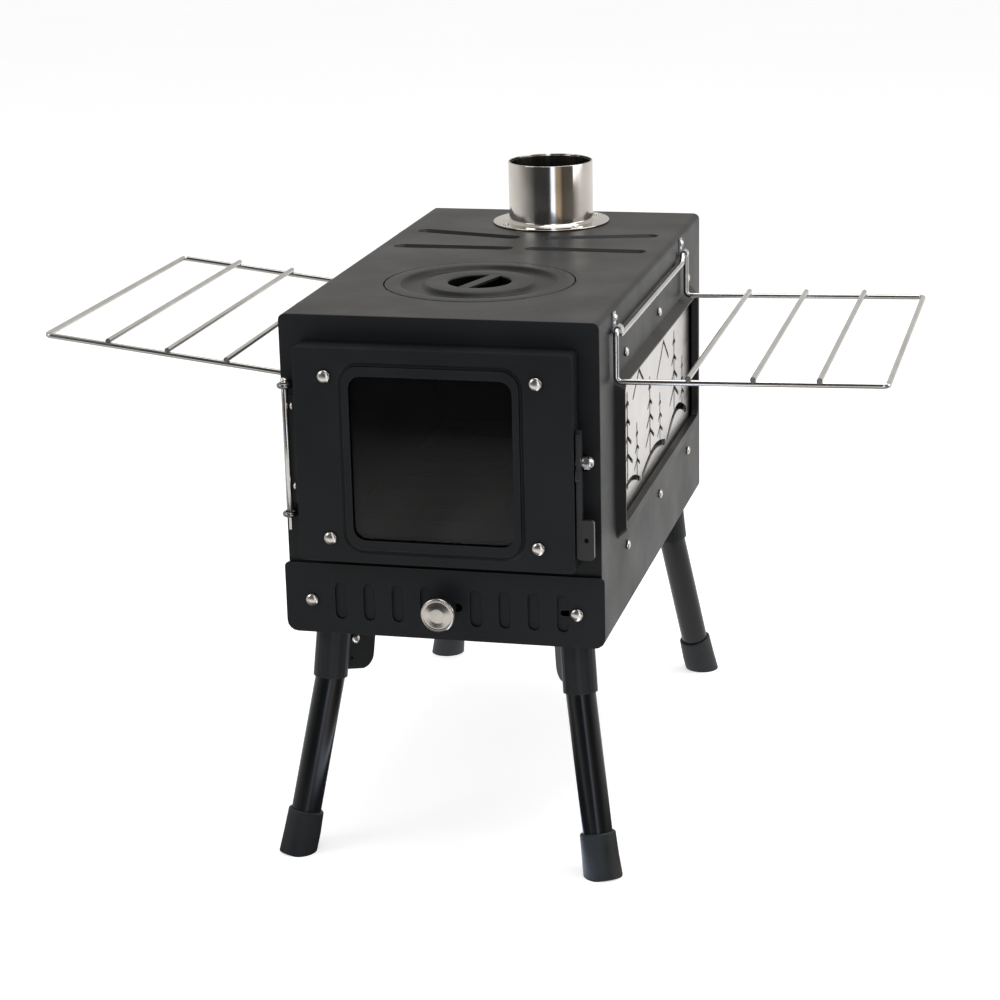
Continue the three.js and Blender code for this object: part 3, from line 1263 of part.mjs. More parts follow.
const LEGS = [
  { name: "front_left", x: -1, y: 1 },
  { name: "front_right", x: 1, y: 1 },
  { name: "rear_left", x: -1, y: -1 },
  { name: "rear_right", x: 1, y: -1 },
];
const legAzimuth = (leg) => Math.atan2(leg.y * Math.sin(radians(LEG_AZIMUTH)), -leg.x * Math.cos(radians(LEG_AZIMUTH)));
const legPivot = (leg) =>
  at(leg.x * LEG_PIVOT.x, leg.y > 0 ? LEG_PIVOT.fromEnd : BODY_LENGTH - LEG_PIVOT.fromEnd, LEG_PIVOT.z);

function addLeg(parent, leg) {
  const turn = new THREE.Group();
  turn.position.copy(legPivot(leg));
  turn.rotation.z = legAzimuth(leg);
  const tilt = new THREE.Group();
  tilt.rotation.y = radians(SOCKET_SPLAY);
  turn.add(tilt);
  parent.add(turn);
  addMesh(tilt, "leg_socket_" + leg.name, legSocket(), MATERIALS.blackSteel);
  addMesh(tilt, "leg_bolt_" + leg.name, legBolt(leg.x), MATERIALS.fastener);
  addMesh(tilt, "leg_tube_" + leg.name, legTube(), MATERIALS.legTube);
  addMesh(tilt, "foot_cap_" + leg.name, footCap(), MATERIALS.rubber);
}

// A rail under the firebox floor with a lug for each of two legs, which their ears turn about.
function legRail(legs) {
  const railTop = PAN_HEIGHT - SEAT;
  const railUnder = railTop - SHEET;
  const middleY = legPivot(legs[0]).y;
  const reach = innerHalf - 3;
  let rail = extrude("z", roundedRect(-reach, reach, middleY - 22, middleY + 26, 3), railUnder, railTop);
  for (const leg of legs) {
    const height = railTop - SHEET / 2 - LEG_PIVOT.z;
    const lug = new THREE.Shape();
    lug.moveTo(-4.3 + height * Math.tan(radians(SOCKET_SPLAY)), height);
    lug.lineTo(-4.3, 0);
    lug.absarc(0, 0, 4.3, Math.PI, radians(300));
    lug.lineTo(14, height - 6);
    lug.lineTo(14, height);
    const hole = new THREE.Path();
    hole.absarc(0, 0, LEG_BOLT_RADIUS + RUN, 0, 2 * Math.PI, true);
    lug.holes.push(hole);
    const geometry = new THREE.ExtrudeGeometry(lug, { depth: LUG_THICK, bevelEnabled: false, curveSegments: 8 });
    geometry.applyMatrix4(TURN.y);
    geometry.translate(0, LUG_THICK / 2, 0);
    geometry.rotateZ(legAzimuth(leg));
    const pivot = legPivot(leg);
    geometry.translate(pivot.x, pivot.y, pivot.z);
    rail = join(rail, toSolid(geometry));
  }
  return rail;
}

// ---------------------------------------------------------------- assembly
const stove = new THREE.Group();
const firebox = new THREE.Group();
stove.add(firebox);

addMesh(firebox, "body_wrap", bodyWrap(), MATERIALS.blackSteel);
addMesh(firebox, "front_panel", frontPanel(), MATERIALS.blackSteel);
addMesh(firebox, "back_panel", backPanel(), MATERIALS.blackSteel);
addMesh(firebox, "bottom_pan", bottomPan(), MATERIALS.innerSteel);
addMesh(firebox, "fire_grate", fireGrate(), MATERIALS.innerSteel);
addMesh(firebox, "hob_seat_ring", hobSeatRing(), MATERIALS.innerSteel);
addMesh(firebox, "hob_lid", hobLid(), MATERIALS.blackSteel);
addMesh(firebox, "flue_collar", flueCollar(), MATERIALS.stainless);

addMesh(firebox, "art_plate", artPlate(), MATERIALS.plate);
addMesh(firebox, "side_glass", sideGlass(), MATERIALS.glass);
addMesh(firebox, "side_clamp_frame", sideClampFrame(), MATERIALS.innerSteel);
for (const [row, z] of Object.entries(SIDE_RIVET_ZS)) {
  SIDE_RIVET_YS.forEach((y, i) => {
    const rivet = sideRivet(y, z, halfWidth + SEAT, clampFace - SHEET);
    addMesh(firebox, `side_rivet_${row}_${i + 1}`, rivet, MATERIALS.fastener);
  });
}

addMesh(firebox, "door_panel", doorPanel(), MATERIALS.blackSteel);
addMesh(firebox, "door_glass", doorGlass(), MATERIALS.glass);
addMesh(firebox, "glass_clamp", glassClamp(), MATERIALS.innerSteel);
doorScrews.forEach(([x, z], i) => {
  const screw = frontScrew(x, doorFace - SEAT, z, clampFront + SHEET + 2, clampFront + SHEET + SEAT);
  addMesh(firebox, `door_screw_${i + 1}`, screw, MATERIALS.fastener);
});
addMesh(firebox, "hinge_leaf", hingeLeaf(), MATERIALS.fastener);
addMesh(firebox, "hinge_pin", hingePin(), MATERIALS.fastener);
addMesh(firebox, "hinge_eye_upper", hingeEye(HINGE_EYE_TOP), MATERIALS.blackSteel);
addMesh(firebox, "hinge_eye_lower", hingeEye(HINGE_EYE_BOTTOM), MATERIALS.blackSteel);
addMesh(firebox, "latch_lever", latchLever(), MATERIALS.blackSteel);
addMesh(firebox, "latch_bolt", latchBolt(), MATERIALS.fastener);
addMesh(firebox, "latch_nut", latchNut(), MATERIALS.fastener);

addMesh(firebox, "vent_plate", ventPlate(), MATERIALS.ventSteel);
addMesh(firebox, "vent_slider", ventSlider(), MATERIALS.innerSteel);
addMesh(firebox, "vent_knob", ventKnob(), MATERIALS.fastener);
[-1, 1].forEach((side) => {
  const screw = frontScrew(side * VENT_SCREW_X, ventFace - SEAT, VENT_SCREW_Z, SHEET + SEAT + 1, SHEET + SEAT);
  addMesh(firebox, side < 0 ? "vent_screw_left" : "vent_screw_right", screw, MATERIALS.fastener);
});

for (const side of rackSides) {
  addMesh(firebox, "rack_" + side.name, rackFrame(side), MATERIALS.wire);
  clipYs.forEach((y, i) => {
    addMesh(firebox, `rack_clip_${side.name}_${i ? "rear" : "front"}`, rackClip(side, y), MATERIALS.fastener);
  });
}

addMesh(firebox, "leg_rail_front", legRail(LEGS.slice(0, 2)), MATERIALS.innerSteel);
addMesh(firebox, "leg_rail_rear", legRail(LEGS.slice(2)), MATERIALS.innerSteel);
for (const leg of LEGS) addLeg(firebox, leg);

// The part's origin is the middle of its footprint, on the floor.
firebox.updateMatrixWorld(true);
const envelope = new THREE.Box3().setFromObject(firebox, true);
const middle = envelope.getCenter(at(0, 0, 0));
firebox.position.set(-middle.x, -middle.y, -envelope.min.z);

export default stove;
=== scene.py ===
"""A folding tent wood stove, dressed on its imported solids.

Sizes are in millimetres of the firebox frame (x = 0 in the middle, y = 0 on the front sheet, z = 0 on the
lower edge of the side walls) and are moved to the part's own frame, in metres, when a mesh is made.
"""

from __future__ import annotations

import json
import logging
import math
from dataclasses import dataclass
from enum import Enum
from typing import Iterable, Sequence

import bmesh
import bpy
import numpy as np
from mathutils import Matrix, Vector

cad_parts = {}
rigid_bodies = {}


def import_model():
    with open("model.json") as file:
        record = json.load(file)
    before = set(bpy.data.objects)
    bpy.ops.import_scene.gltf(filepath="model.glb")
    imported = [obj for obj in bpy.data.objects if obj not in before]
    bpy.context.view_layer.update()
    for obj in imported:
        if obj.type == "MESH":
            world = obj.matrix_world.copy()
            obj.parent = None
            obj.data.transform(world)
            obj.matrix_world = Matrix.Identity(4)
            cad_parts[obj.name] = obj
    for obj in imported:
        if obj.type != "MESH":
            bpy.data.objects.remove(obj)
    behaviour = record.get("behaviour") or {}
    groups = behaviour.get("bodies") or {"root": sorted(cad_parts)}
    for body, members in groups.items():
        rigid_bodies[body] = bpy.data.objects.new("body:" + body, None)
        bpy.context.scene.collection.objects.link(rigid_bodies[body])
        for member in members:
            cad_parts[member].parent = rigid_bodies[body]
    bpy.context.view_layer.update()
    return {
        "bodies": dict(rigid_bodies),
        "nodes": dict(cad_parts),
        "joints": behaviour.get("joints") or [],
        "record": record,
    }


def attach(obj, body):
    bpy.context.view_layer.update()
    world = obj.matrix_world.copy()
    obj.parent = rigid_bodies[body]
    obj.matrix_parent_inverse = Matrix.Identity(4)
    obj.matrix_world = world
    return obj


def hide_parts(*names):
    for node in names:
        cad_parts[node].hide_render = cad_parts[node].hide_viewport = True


log = logging.getLogger("tent_stove")

Array = np.ndarray
Rows = Sequence[Sequence[float]]
MM = 0.001
SHIFT = np.array([0.443451, -180.0, 149.0])  # from the firebox frame to the part's frame, mm
UNTURNED = np.eye(3)
ASKEW = np.array([0.577, 0.577, 0.577])  # no wire of the racks or hinge runs along it
WORN_STEEL_AND_HIGHLIGHT = (0.07, 0.072, 0.075, 1)  # where the coat is thin from wear, and a painted highlight on its edges
CREVICE_SHADE = 0.3  # share of the coat's colour left in slots and corners: painted shade
MIDDLE = (0.3, 0.7)  # where most of a noise's values lie
WELD_REACH = 1e-6  # points nearer than this are one, metres
SHARP_EDGE = math.radians(38.0)  # edges sharper than this stay hard


class Body(str, Enum):
    """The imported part's bodies that carry new pieces; the legs' are leg_ and their corner's name."""

    FIREBOX = "firebox"
    DOOR = "door"
    VENT = "vent"
    HOB = "hob"
    RACK_RIGHT = "rack_r"
    RACK_LEFT = "rack_l"


class Slot(str, Enum):
    """The record's material slots, named where new pieces are made."""

    BLACK_STEEL = "black_steel"
    STAINLESS = "stainless"
    WIRE = "wire"
    FASTENERS = "fasteners"
    LEG_BLACK = "leg_black"
    RUBBER = "rubber"


# ---------------------------------------------------------------- surfaces
@dataclass
class Surface:
    """A mesh as whole arrays: points in the firebox frame, and faces as index rows."""

    points: Array
    faces: list[list[int]]

    def joined(self, *others: "Surface") -> "Surface":
        """This surface and others as one mesh.

        Args:
            others: the surfaces to add.
        Returns:
            One surface with all their points and faces.
        """
        points, faces = [self.points], list(self.faces)
        start = len(self.points)
        for other in others:
            faces += [[i + start for i in face] for face in other.faces]
            points.append(other.points)
            start += len(other.points)
        return Surface(np.vstack(points), faces)

    def moved(self, turn: Array, offset: Sequence[float]) -> "Surface":
        """The surface turned by a 3x3 matrix and then shifted by some millimetres."""
        return Surface(self.points @ np.asarray(turn).T + np.asarray(offset, float), self.faces)


def skin_faces(rings: int, sides: int, capped: bool) -> list[list[int]]:
    """Quads over rings of points that each close on themselves.

    Args:
        rings: number of rings.
        sides: points in each ring.
        capped: whether a flat face closes the first and the last ring.
    Returns:
        The faces as rows of indices.
    """
    i, j = np.meshgrid(np.arange(rings - 1), np.arange(sides), indexing="ij")
    here, beside, above = i * sides + j, i * sides + (j + 1) % sides, (i + 1) * sides
    quads = np.stack([here, beside, above + (j + 1) % sides, above + j], axis=-1)
    faces = quads.reshape(-1, 4).tolist()
    if capped:
        top = (rings - 1) * sides
        faces += [list(range(sides))[::-1], list(range(top, top + sides))]
    return faces


def full_turn(sides: int) -> Array:
    """Angles at equal steps round a circle, starting at 0."""
    return np.linspace(0.0, 2 * np.pi, sides, endpoint=False)


def unit(rows: Array) -> Array:
    """Rows scaled to length 1."""
    return rows / np.linalg.norm(rows, axis=1, keepdims=True)


def circles(centres: Array, n: Array, m: Array, radii: Array | float, sides: int) -> Array:
    """Circles along a line: c(u) + r(u) (cos v n(u) + sin v m(u)).

    Args:
        centres: their middles.
        n: unit rows square to the line.
        m: unit rows square to the line and to n.
        radii: one radius, or one for each circle as an array that fits the points.
        sides: points in each.
    Returns:
        An array of circles by points by axes.
    """
    v = full_turn(sides)[None, :, None]
    return centres[:, None] + radii * (np.cos(v) * n[:, None] + np.sin(v) * m[:, None])


def aim(direction: Sequence[float]) -> Array:
    """The 3x3 rotation that lays +Z along a direction."""
    return np.array(Vector((0, 0, 1)).rotation_difference(Vector(direction)).to_matrix())


def revolved(profile: Rows, sides: int) -> Surface:
    """A profile turned about +Z.

    The point at (u, v) is (r(u) cos v, r(u) sin v, h(u)), with v from 0 to a full turn. A profile that
    starts or ends on the axis is closed there by a disc; any other profile comes back to its start.

    Args:
        profile: (radius, height) rows, from the underside outwards and up.
        sides: points round the axis.
    Returns:
        The closed surface.
    """
    line = np.asarray(profile, float)
    on_axis = line[0, 0] < 1e-9
    rings = line[1:-1] if on_axis else np.vstack([line, line[:1]])
    v = full_turn(sides)
    radius, height = rings[:, :1], rings[:, 1:]
    points = np.stack([radius * np.cos(v), radius * np.sin(v), height + 0 * v], axis=-1)
    return Surface(points.reshape(-1, 3), skin_faces(len(rings), sides, on_axis))


def rounded_profile(corners: Rows, bevel: float) -> Array:
    """A profile whose inner corners are rounded.

    Each corner c becomes the quadratic curve from c + a to c + b, with a and b up to the bevel long
    towards its neighbours: p(t) = (1-t)^2 (c+a) + 2t(1-t) c + t^2 (c+b), at four values of t.

    Args:
        corners: (radius, height) rows.
        bevel: reach of each rounding, mm.
    Returns:
        The rounded profile.
    """
    line = np.asarray(corners, float)
    before, here, after = line[:-2], line[1:-1], line[2:]
    lengths = [np.linalg.norm(side - here, axis=1, keepdims=True) for side in (before, after)]
    reach = np.minimum(bevel, 0.45 * np.minimum(*lengths))
    start = here + unit(before - here) * reach
    end = here + unit(after - here) * reach
    t = np.linspace(0.0, 1.0, 4)[None, :, None]
    curve = (1 - t) ** 2 * start[:, None] + 2 * t * (1 - t) * here[:, None] + t**2 * end[:, None]
    return np.vstack([line[:1], curve.reshape(-1, 2), line[-1:]])


def bent_loop(corners: Rows, bend: float) -> Array:
    """The centre line of a closed wire bent at its corners.

    At a corner c between unit directions a and b, the line is the arc of the bend radius that touches
    both sides, with its centre at c + (a + b) / |a + b| * bend / sin(half the corner's angle), at nine
    points.

    Args:
        corners: the corner points, mm.
        bend: bend radius, mm.
    Returns:
        The line's points.
    """
    here = np.asarray(corners, float)
    a, b = unit(np.roll(here, 1, 0) - here), unit(np.roll(here, -1, 0) - here)
    half = np.arccos(np.clip((a * b).sum(1, keepdims=True), -1, 1)) / 2
    centre = here + unit(a + b) * bend / np.sin(half)
    start = here + a * bend / np.tan(half) - centre
    end = here + b * bend / np.tan(half) - centre
    sweep = (np.pi - 2 * half)[:, None]
    t = np.linspace(0.0, 1.0, 9)[None, :, None]
    arc = (np.sin((1 - t) * sweep) * start[:, None] + np.sin(t * sweep) * end[:, None]) / np.sin(sweep)
    return (arc + centre[:, None]).reshape(-1, 3)


def swept(path: Array, radius: float, sides: int = 16, closed: bool = False) -> Surface:
    """A round wire along a line.

    The point at (u, v) is c(u) + radius (cos v n(u) + sin v m(u)), where n and m are square to the
    line's direction at u.

    Args:
        path: the centre line's points.
        radius: of the wire, mm.
        sides: points round it.
        closed: whether the line joins its own start.
    Returns:
        The wire, with flat ends if it is open.
    """
    before = np.roll(path, 1, 0) if closed else np.vstack([path[:1], path[:-1]])
    after = np.roll(path, -1, 0) if closed else np.vstack([path[1:], path[-1:]])
    tangent = unit(after - before)
    n = unit(np.cross(tangent, ASKEW))
    rings = circles(path, n, np.cross(tangent, n), radius, sides)
    if closed:
        rings = np.concatenate([rings, rings[:1]])
    return Surface(rings.reshape(-1, 3), skin_faces(len(rings), sides, not closed))


def ring_torus(centre: Sequence[float], ring: float, wire: float) -> Surface:
    """A torus about a vertical axis: a circle of the wire's radius carried round one of the ring's."""
    v = full_turn(40)
    path = np.stack([ring * np.cos(v), ring * np.sin(v), 0 * v], axis=-1) + np.asarray(centre, float)
    return swept(path, wire, 14, closed=True)


def lofted(centres: Array, axes: Array, radii: Sequence[float]) -> Surface:
    """Circles at several places joined into one skin with flat ends, 48 points round each.

    Args:
        centres: the circles' middles.
        axes: the circles' axes.
        radii: their radii, mm.
    Returns:
        The closed skin.
    """
    axes, sides = unit(axes), 48
    m = unit(np.cross(axes, np.broadcast_to([1.0, 0.0, 0.0], axes.shape)))
    rings = circles(centres, np.cross(m, axes), m, np.asarray(radii, float)[:, None, None], sides)
    return Surface(rings.reshape(-1, 3), skin_faces(len(rings), sides, True))


def block(low: Sequence[float], high: Sequence[float]) -> Surface:
    """A plain bar between its lowest and highest corner, for use inside a larger piece."""
    (x0, y0, z0), (x1, y1, z1) = low, high
    return prism(np.array([[x0, y0], [x1, y0], [x1, y1], [x0, y1]]), z0, z1)


def rounded_outline(width: float, height: float, corner: float) -> Array:
    """A rectangle with quarter-circle corners of seven points, about the origin, anticlockwise.

    Args:
        width: along the first axis, mm.
        height: along the second axis, mm.
        corner: radius of its corners, mm.
    Returns:
        (a, b) rows.
    """
    turn = np.linspace(0.0, np.pi / 2, 7)
    quarter = np.arange(4)[:, None] * np.pi / 2
    a, b = width / 2 - corner, height / 2 - corner
    centres = np.array([[a, b], [-a, b], [-a, -b], [a, -b]])[:, None]
    arcs = np.stack([np.cos(turn + quarter), np.sin(turn + quarter)], axis=-1) * corner
    return (centres + arcs).reshape(-1, 2)


def prism(outline: Array, low: float, high: float) -> Surface:
    """An anticlockwise outline carried straight up: the point at (u, v) is (a(u), b(u), v)."""
    count = len(outline)
    rings = [np.column_stack([outline, np.full(count, level)]) for level in (low, high)]
    return Surface(np.vstack(rings), skin_faces(2, count, True))


# ---------------------------------------------------------------- finishes
class Graph:
    """Short calls for building a node tree."""

    def __init__(self, tree: bpy.types.NodeTree, place: str) -> None:
        """Start on a tree, with the output of Texture Coordinate that its patterns follow."""
        self.tree = tree
        self.place = self.add("ShaderNodeTexCoord").outputs[place]

    def add(self, kind: str, inputs: dict | None = None, **settings: object) -> bpy.types.Node:
        """Add a node, set its fields and its sockets.

        Args:
            kind: the node's type name.
            inputs: number, colour or source socket for each of its inputs.
            settings: fields of the node.
        Returns:
            The node.
        """
        node = self.tree.nodes.new(kind)
        for key, value in settings.items():
            setattr(node, key, value)
        self.feed(node, inputs or {})
        return node

    def feed(self, node: bpy.types.Node, inputs: dict) -> None:
        """Give a node's inputs their numbers, colours or source sockets."""
        for key, value in inputs.items():
            if isinstance(value, bpy.types.NodeSocket):
                self.tree.links.new(value, node.inputs[key])
            else:
                node.inputs[key].default_value = value

    def maths(self, operation: str, first: object, second: object, clamp: bool = False) -> object:
        """One sum of two values, each a socket or a number; clamp keeps it between 0 and 1."""
        sides = {0: first, 1: second}
        return self.add("ShaderNodeMath", sides, operation=operation, use_clamp=clamp).outputs["Value"]

    def vectors(self, operation: str, first: object, second: object, output: str) -> object:
        """One sum of two vectors, each a socket or three numbers; output names the result's socket."""
        return self.add("ShaderNodeVectorMath", {0: first, 1: second}, operation=operation).outputs[output]

    def scaled(self, value: object, start: tuple[float, float], end: tuple[float, float]) -> object:
        """A value mapped from its start range onto the end range, as a socket."""
        limits = dict(zip(("From Min", "From Max", "To Min", "To Max"), start + end))
        return self.add("ShaderNodeMapRange", {"Value": value, **limits}).outputs["Result"]

    def chosen(self, share: object, first: object, second: object) -> object:
        """The first shader, or the second where the share is 1."""
        return self.add("ShaderNodeMixShader", {0: share, 1: first, 2: second}).outputs[0]


class Nodes(Graph):
    """Short calls for building one material's node tree."""

    def __init__(self, name: str) -> None:
        """Start a named material with a Principled shader."""
        self.material = bpy.data.materials.new(name)
        self.material.use_nodes = True
        super().__init__(self.material.node_tree, "Object")
        self.shader = self.tree.nodes["Principled BSDF"]

    def noise(self, scale: float, detail: float, stretch: Sequence[float] = (1, 1, 1)) -> object:
        """Noise on the object's own coordinates.

        Args:
            scale: cells in a metre.
            detail: octaves.
            stretch: factors along the axes.
        Returns:
            The noise's value socket.
        """
        mapping = self.add("ShaderNodeMapping", {"Scale": stretch, "Vector": self.place})
        sockets = {"Scale": scale, "Detail": detail, "Vector": mapping.outputs["Vector"]}
        return self.add("ShaderNodeTexNoise", sockets).outputs["Fac"]

    def spread(self, value: object, low: float, high: float) -> object:
        """A value's middle range mapped onto low to high, as a socket."""
        return self.scaled(value, MIDDLE, (low, high))

    def ramp(self, value: object, dark: Sequence[float], light: Sequence[float]) -> object:
        """A colour between two, chosen by a value.

        Args:
            value: the socket that chooses.
            dark: colour at 0.3.
            light: colour at 0.7.
        Returns:
            The colour's socket.
        """
        node = self.add("ShaderNodeValToRGB", {"Fac": value})
        for stop, position, colour in zip(node.color_ramp.elements, MIDDLE, (dark, light)):
            stop.position, stop.color = position, (*colour, 1)
        return node.outputs["Color"]

    def bump(self, value: object, strength: float, depth_mm: float) -> None:
        """Raise the surface by a value, with a strength of 0 to 1 and the relief's height."""
        node = self.add("ShaderNodeBump", {"Strength": strength, "Distance": depth_mm * MM, "Height": value})
        self.set(Normal=node.outputs["Normal"])

    def edges(self, radius_mm: float, gain: float) -> object:
        """How much a point lies on an outer or inner edge, from 0 to 1.

        It is one less the cosine between the face's normal and the normal rounded over the radius, times
        the gain.

        Args:
            radius_mm: reach of the rounding.
            gain: factor on the result.
        Returns:
            The value's socket.
        """
        rounded = self.add("ShaderNodeBevel", {"Radius": radius_mm * MM}, samples=2).outputs["Normal"]
        flat = self.add("ShaderNodeNewGeometry").outputs["Normal"]
        off = self.maths("SUBTRACT", 1.0, self.vectors("DOT_PRODUCT", rounded, flat, "Value"))
        return self.maths("MULTIPLY", off, gain, clamp=True)

    def open_air(self, reach_mm: float) -> object:
        """How open a point lies to the air within a reach: 1 in the open, less in slots and corners."""
        reach = {"Distance": reach_mm * MM}
        return self.add("ShaderNodeAmbientOcclusion", reach, samples=2).outputs["AO"]

    def blend(self, share: object, under: Sequence[float] | object, over: Sequence[float] | object) -> object:
        """A share of one colour over another, each a socket or four numbers."""
        sockets = {"Factor": share, "A": under, "B": over}
        return self.add("ShaderNodeMix", sockets, data_type="RGBA").outputs["Result"]

    def set(self, **values: object) -> None:
        """Feed the shader's own inputs, with underscores for the spaces in their names."""
        self.feed(self.shader, {key.replace("_", " "): value for key, value in values.items()})


@dataclass(frozen=True)
class HeatCoat:
    """Sprayed black heat-proof coat: fine grain, faint cloudy gloss, painted shade in slots and corners, and
    edges lighter from wear and a painted highlight.
    """

    name: str
    dark: tuple[float, float, float]
    light: tuple[float, float, float]
    rough_low: float
    rough_high: float
    specular: float = 0.3
    grain_mm: float = 0.03
    edge_mm: float = 0.7
    edge_gain: float = 1.3
    crevice_mm: float = 7.0

    def material(self) -> bpy.types.Material:
        """The coat's material."""
        n = Nodes(self.name)
        cloud = n.noise(22.0, 4.0)
        coat = n.ramp(cloud, self.dark, self.light)
        # painted shade: the coat's colour darkens in slots and corners, by how closed they lie to the air
        shade = n.open_air(self.crevice_mm)
        shaded = n.blend(shade, (*(c * CREVICE_SHADE for c in self.dark), 1), coat)
        # lighter edges, partly wear and partly a painted highlight along bends, kept out of the painted shade
        patches = n.spread(n.noise(70.0, 4.0), 0.35, 1.0)
        rubbed_and_highlight = n.maths("MULTIPLY", n.edges(self.edge_mm, self.edge_gain), patches)
        worn_and_highlight = n.maths("MULTIPLY", rubbed_and_highlight, shade)
        n.set(Base_Color=n.blend(worn_and_highlight, shaded, WORN_STEEL_AND_HIGHLIGHT), Metallic=0.0, Specular_IOR_Level=self.specular)
        n.set(Roughness=n.spread(cloud, self.rough_low, self.rough_high))
        n.bump(n.noise(2600.0, 2.0), 0.3, self.grain_mm)
        return n.material


@dataclass(frozen=True)
class BrightMetal:
    """Rolled, drawn or polished bright metal with fine lines along one axis."""

    name: str
    dark: tuple[float, float, float]
    light: tuple[float, float, float]
    rough_low: float
    rough_high: float
    stretch: tuple[float, float, float] = (1, 1, 1)
    line_mm: float = 0.004

    def material(self) -> bpy.types.Material:
        """The metal's material."""
        n = Nodes(self.name)
        lines = n.noise(500.0, 3.0, self.stretch)
        n.set(Base_Color=n.ramp(n.noise(40.0, 3.0), self.dark, self.light), Metallic=1.0)
        n.set(Roughness=n.spread(lines, self.rough_low, self.rough_high))
        n.bump(lines, 0.1, self.line_mm)
        return n.material


@dataclass(frozen=True)
class CeramicGlass:
    """Flat heat-proof glass with a smoky tint and faint soot."""

    name: str
    tint: tuple[float, float, float]
    alpha: float

    def material(self) -> bpy.types.Material:
        """The glass's material."""
        n = Nodes(self.name)
        soot_and_painted_shade = n.noise(18.0, 5.0)
        n.set(Base_Color=n.ramp(soot_and_painted_shade, self.tint, tuple(c * 1.6 for c in self.tint)), Metallic=0.0)
        n.set(Roughness=n.spread(soot_and_painted_shade, 0.04, 0.072), Alpha=self.alpha, IOR=1.5)
        return n.material


@dataclass(frozen=True)
class MouldedRubber:
    """Matte black moulded rubber."""

    name: str
    dark: tuple[float, float, float]
    light: tuple[float, float, float]

    def material(self) -> bpy.types.Material:
        """The rubber's material."""
        n = Nodes(self.name)
        cloud = n.noise(60.0, 4.0)
        n.set(Base_Color=n.ramp(cloud, self.dark, self.light), Roughness=n.spread(cloud, 0.45, 0.6))
        n.set(Metallic=0.0, Specular_IOR_Level=0.45)
        n.bump(n.noise(1500.0, 3.0), 0.3, 0.05)
        return n.material


FINISHES = {
    "coat": HeatCoat("black_heat_coat", (0.0088, 0.0090, 0.0092), (0.0118, 0.0120, 0.0122), 0.36, 0.46, 0.3),
    "door": HeatCoat(
        "door_heat_coat", (0.0108, 0.0121, 0.0136), (0.0142, 0.0158, 0.0178), 0.4, 0.5, 0.25,
        crevice_mm=5.0, edge_gain=2.0,
    ),
    "front": HeatCoat(
        "front_heat_coat", (0.0126, 0.0138, 0.0148), (0.0160, 0.0174, 0.0188), 0.42, 0.52, 0.25,
        crevice_mm=3.0,
    ),
    "inner": HeatCoat("inner_heat_coat", (0.010, 0.0095, 0.009), (0.017, 0.016, 0.015), 0.55, 0.7, 0.25),
    # near-black with almost no gloss: painted shade in the lid's cup, and sooty steel with painted shade in
    # the seat ring
    "soot_and_painted_shade": HeatCoat(
        "sooty_painted_shade_black", (0.0010, 0.0010, 0.0010), (0.0018, 0.0018, 0.0018), 0.7, 0.85, 0.06, edge_gain=0.0
    ),
    "latch": HeatCoat(
        "blacked_latch", (0.018, 0.019, 0.020), (0.030, 0.031, 0.032), 0.24, 0.34, 0.5, edge_gain=2.2
    ),
    "leg": HeatCoat(
        "leg_gloss_black", (0.0022, 0.0031, 0.0046), (0.0033, 0.0047, 0.0070), 0.19, 0.25, 0.5, 0.006
    ),
    "socket": HeatCoat("socket_black", (0.0143, 0.0165, 0.0185), (0.0190, 0.0218, 0.0245), 0.36, 0.46, 0.3),
    "eye": BrightMetal("greyed_eye", (0.22, 0.22, 0.21), (0.36, 0.35, 0.33), 0.2, 0.32),
    "stainless": BrightMetal(
        "polished_stainless", (0.60, 0.565, 0.52), (0.70, 0.665, 0.62), 0.07, 0.13, (1, 1, 0.03)
    ),
    # dark brownish metal for the bore's lining: painted shade that dims the reflections inside the collar
    "bore": BrightMetal("painted_shade_bore", (0.09, 0.085, 0.07), (0.15, 0.14, 0.12), 0.25, 0.35, (1, 1, 0.03)),
    "wire": BrightMetal("bright_wire", (0.58, 0.57, 0.55), (0.70, 0.69, 0.67), 0.13, 0.22),
    "fastener": BrightMetal(
        "bright_fastener", (0.76, 0.72, 0.66), (0.86, 0.82, 0.76), 0.2, 0.3, line_mm=0.0
    ),
    "knob": BrightMetal("turned_knob", (0.58, 0.545, 0.50), (0.66, 0.625, 0.575), 0.14, 0.22, line_mm=0.0),
    "plate": BrightMetal(
        "rolled_plate", (0.80, 0.78, 0.76), (0.88, 0.86, 0.84), 0.32, 0.4, (1, 0.05, 1), line_mm=0.001
    ),
    "glass": CeramicGlass("smoky_glass", (0.003, 0.003, 0.003), 0.55),
    "side_glass": CeramicGlass("clear_side_glass", (0.01, 0.01, 0.01), 0.5),
    "rubber": MouldedRubber("moulded_rubber", (0.0120, 0.0155, 0.0180), (0.0172, 0.0215, 0.0255)),
}


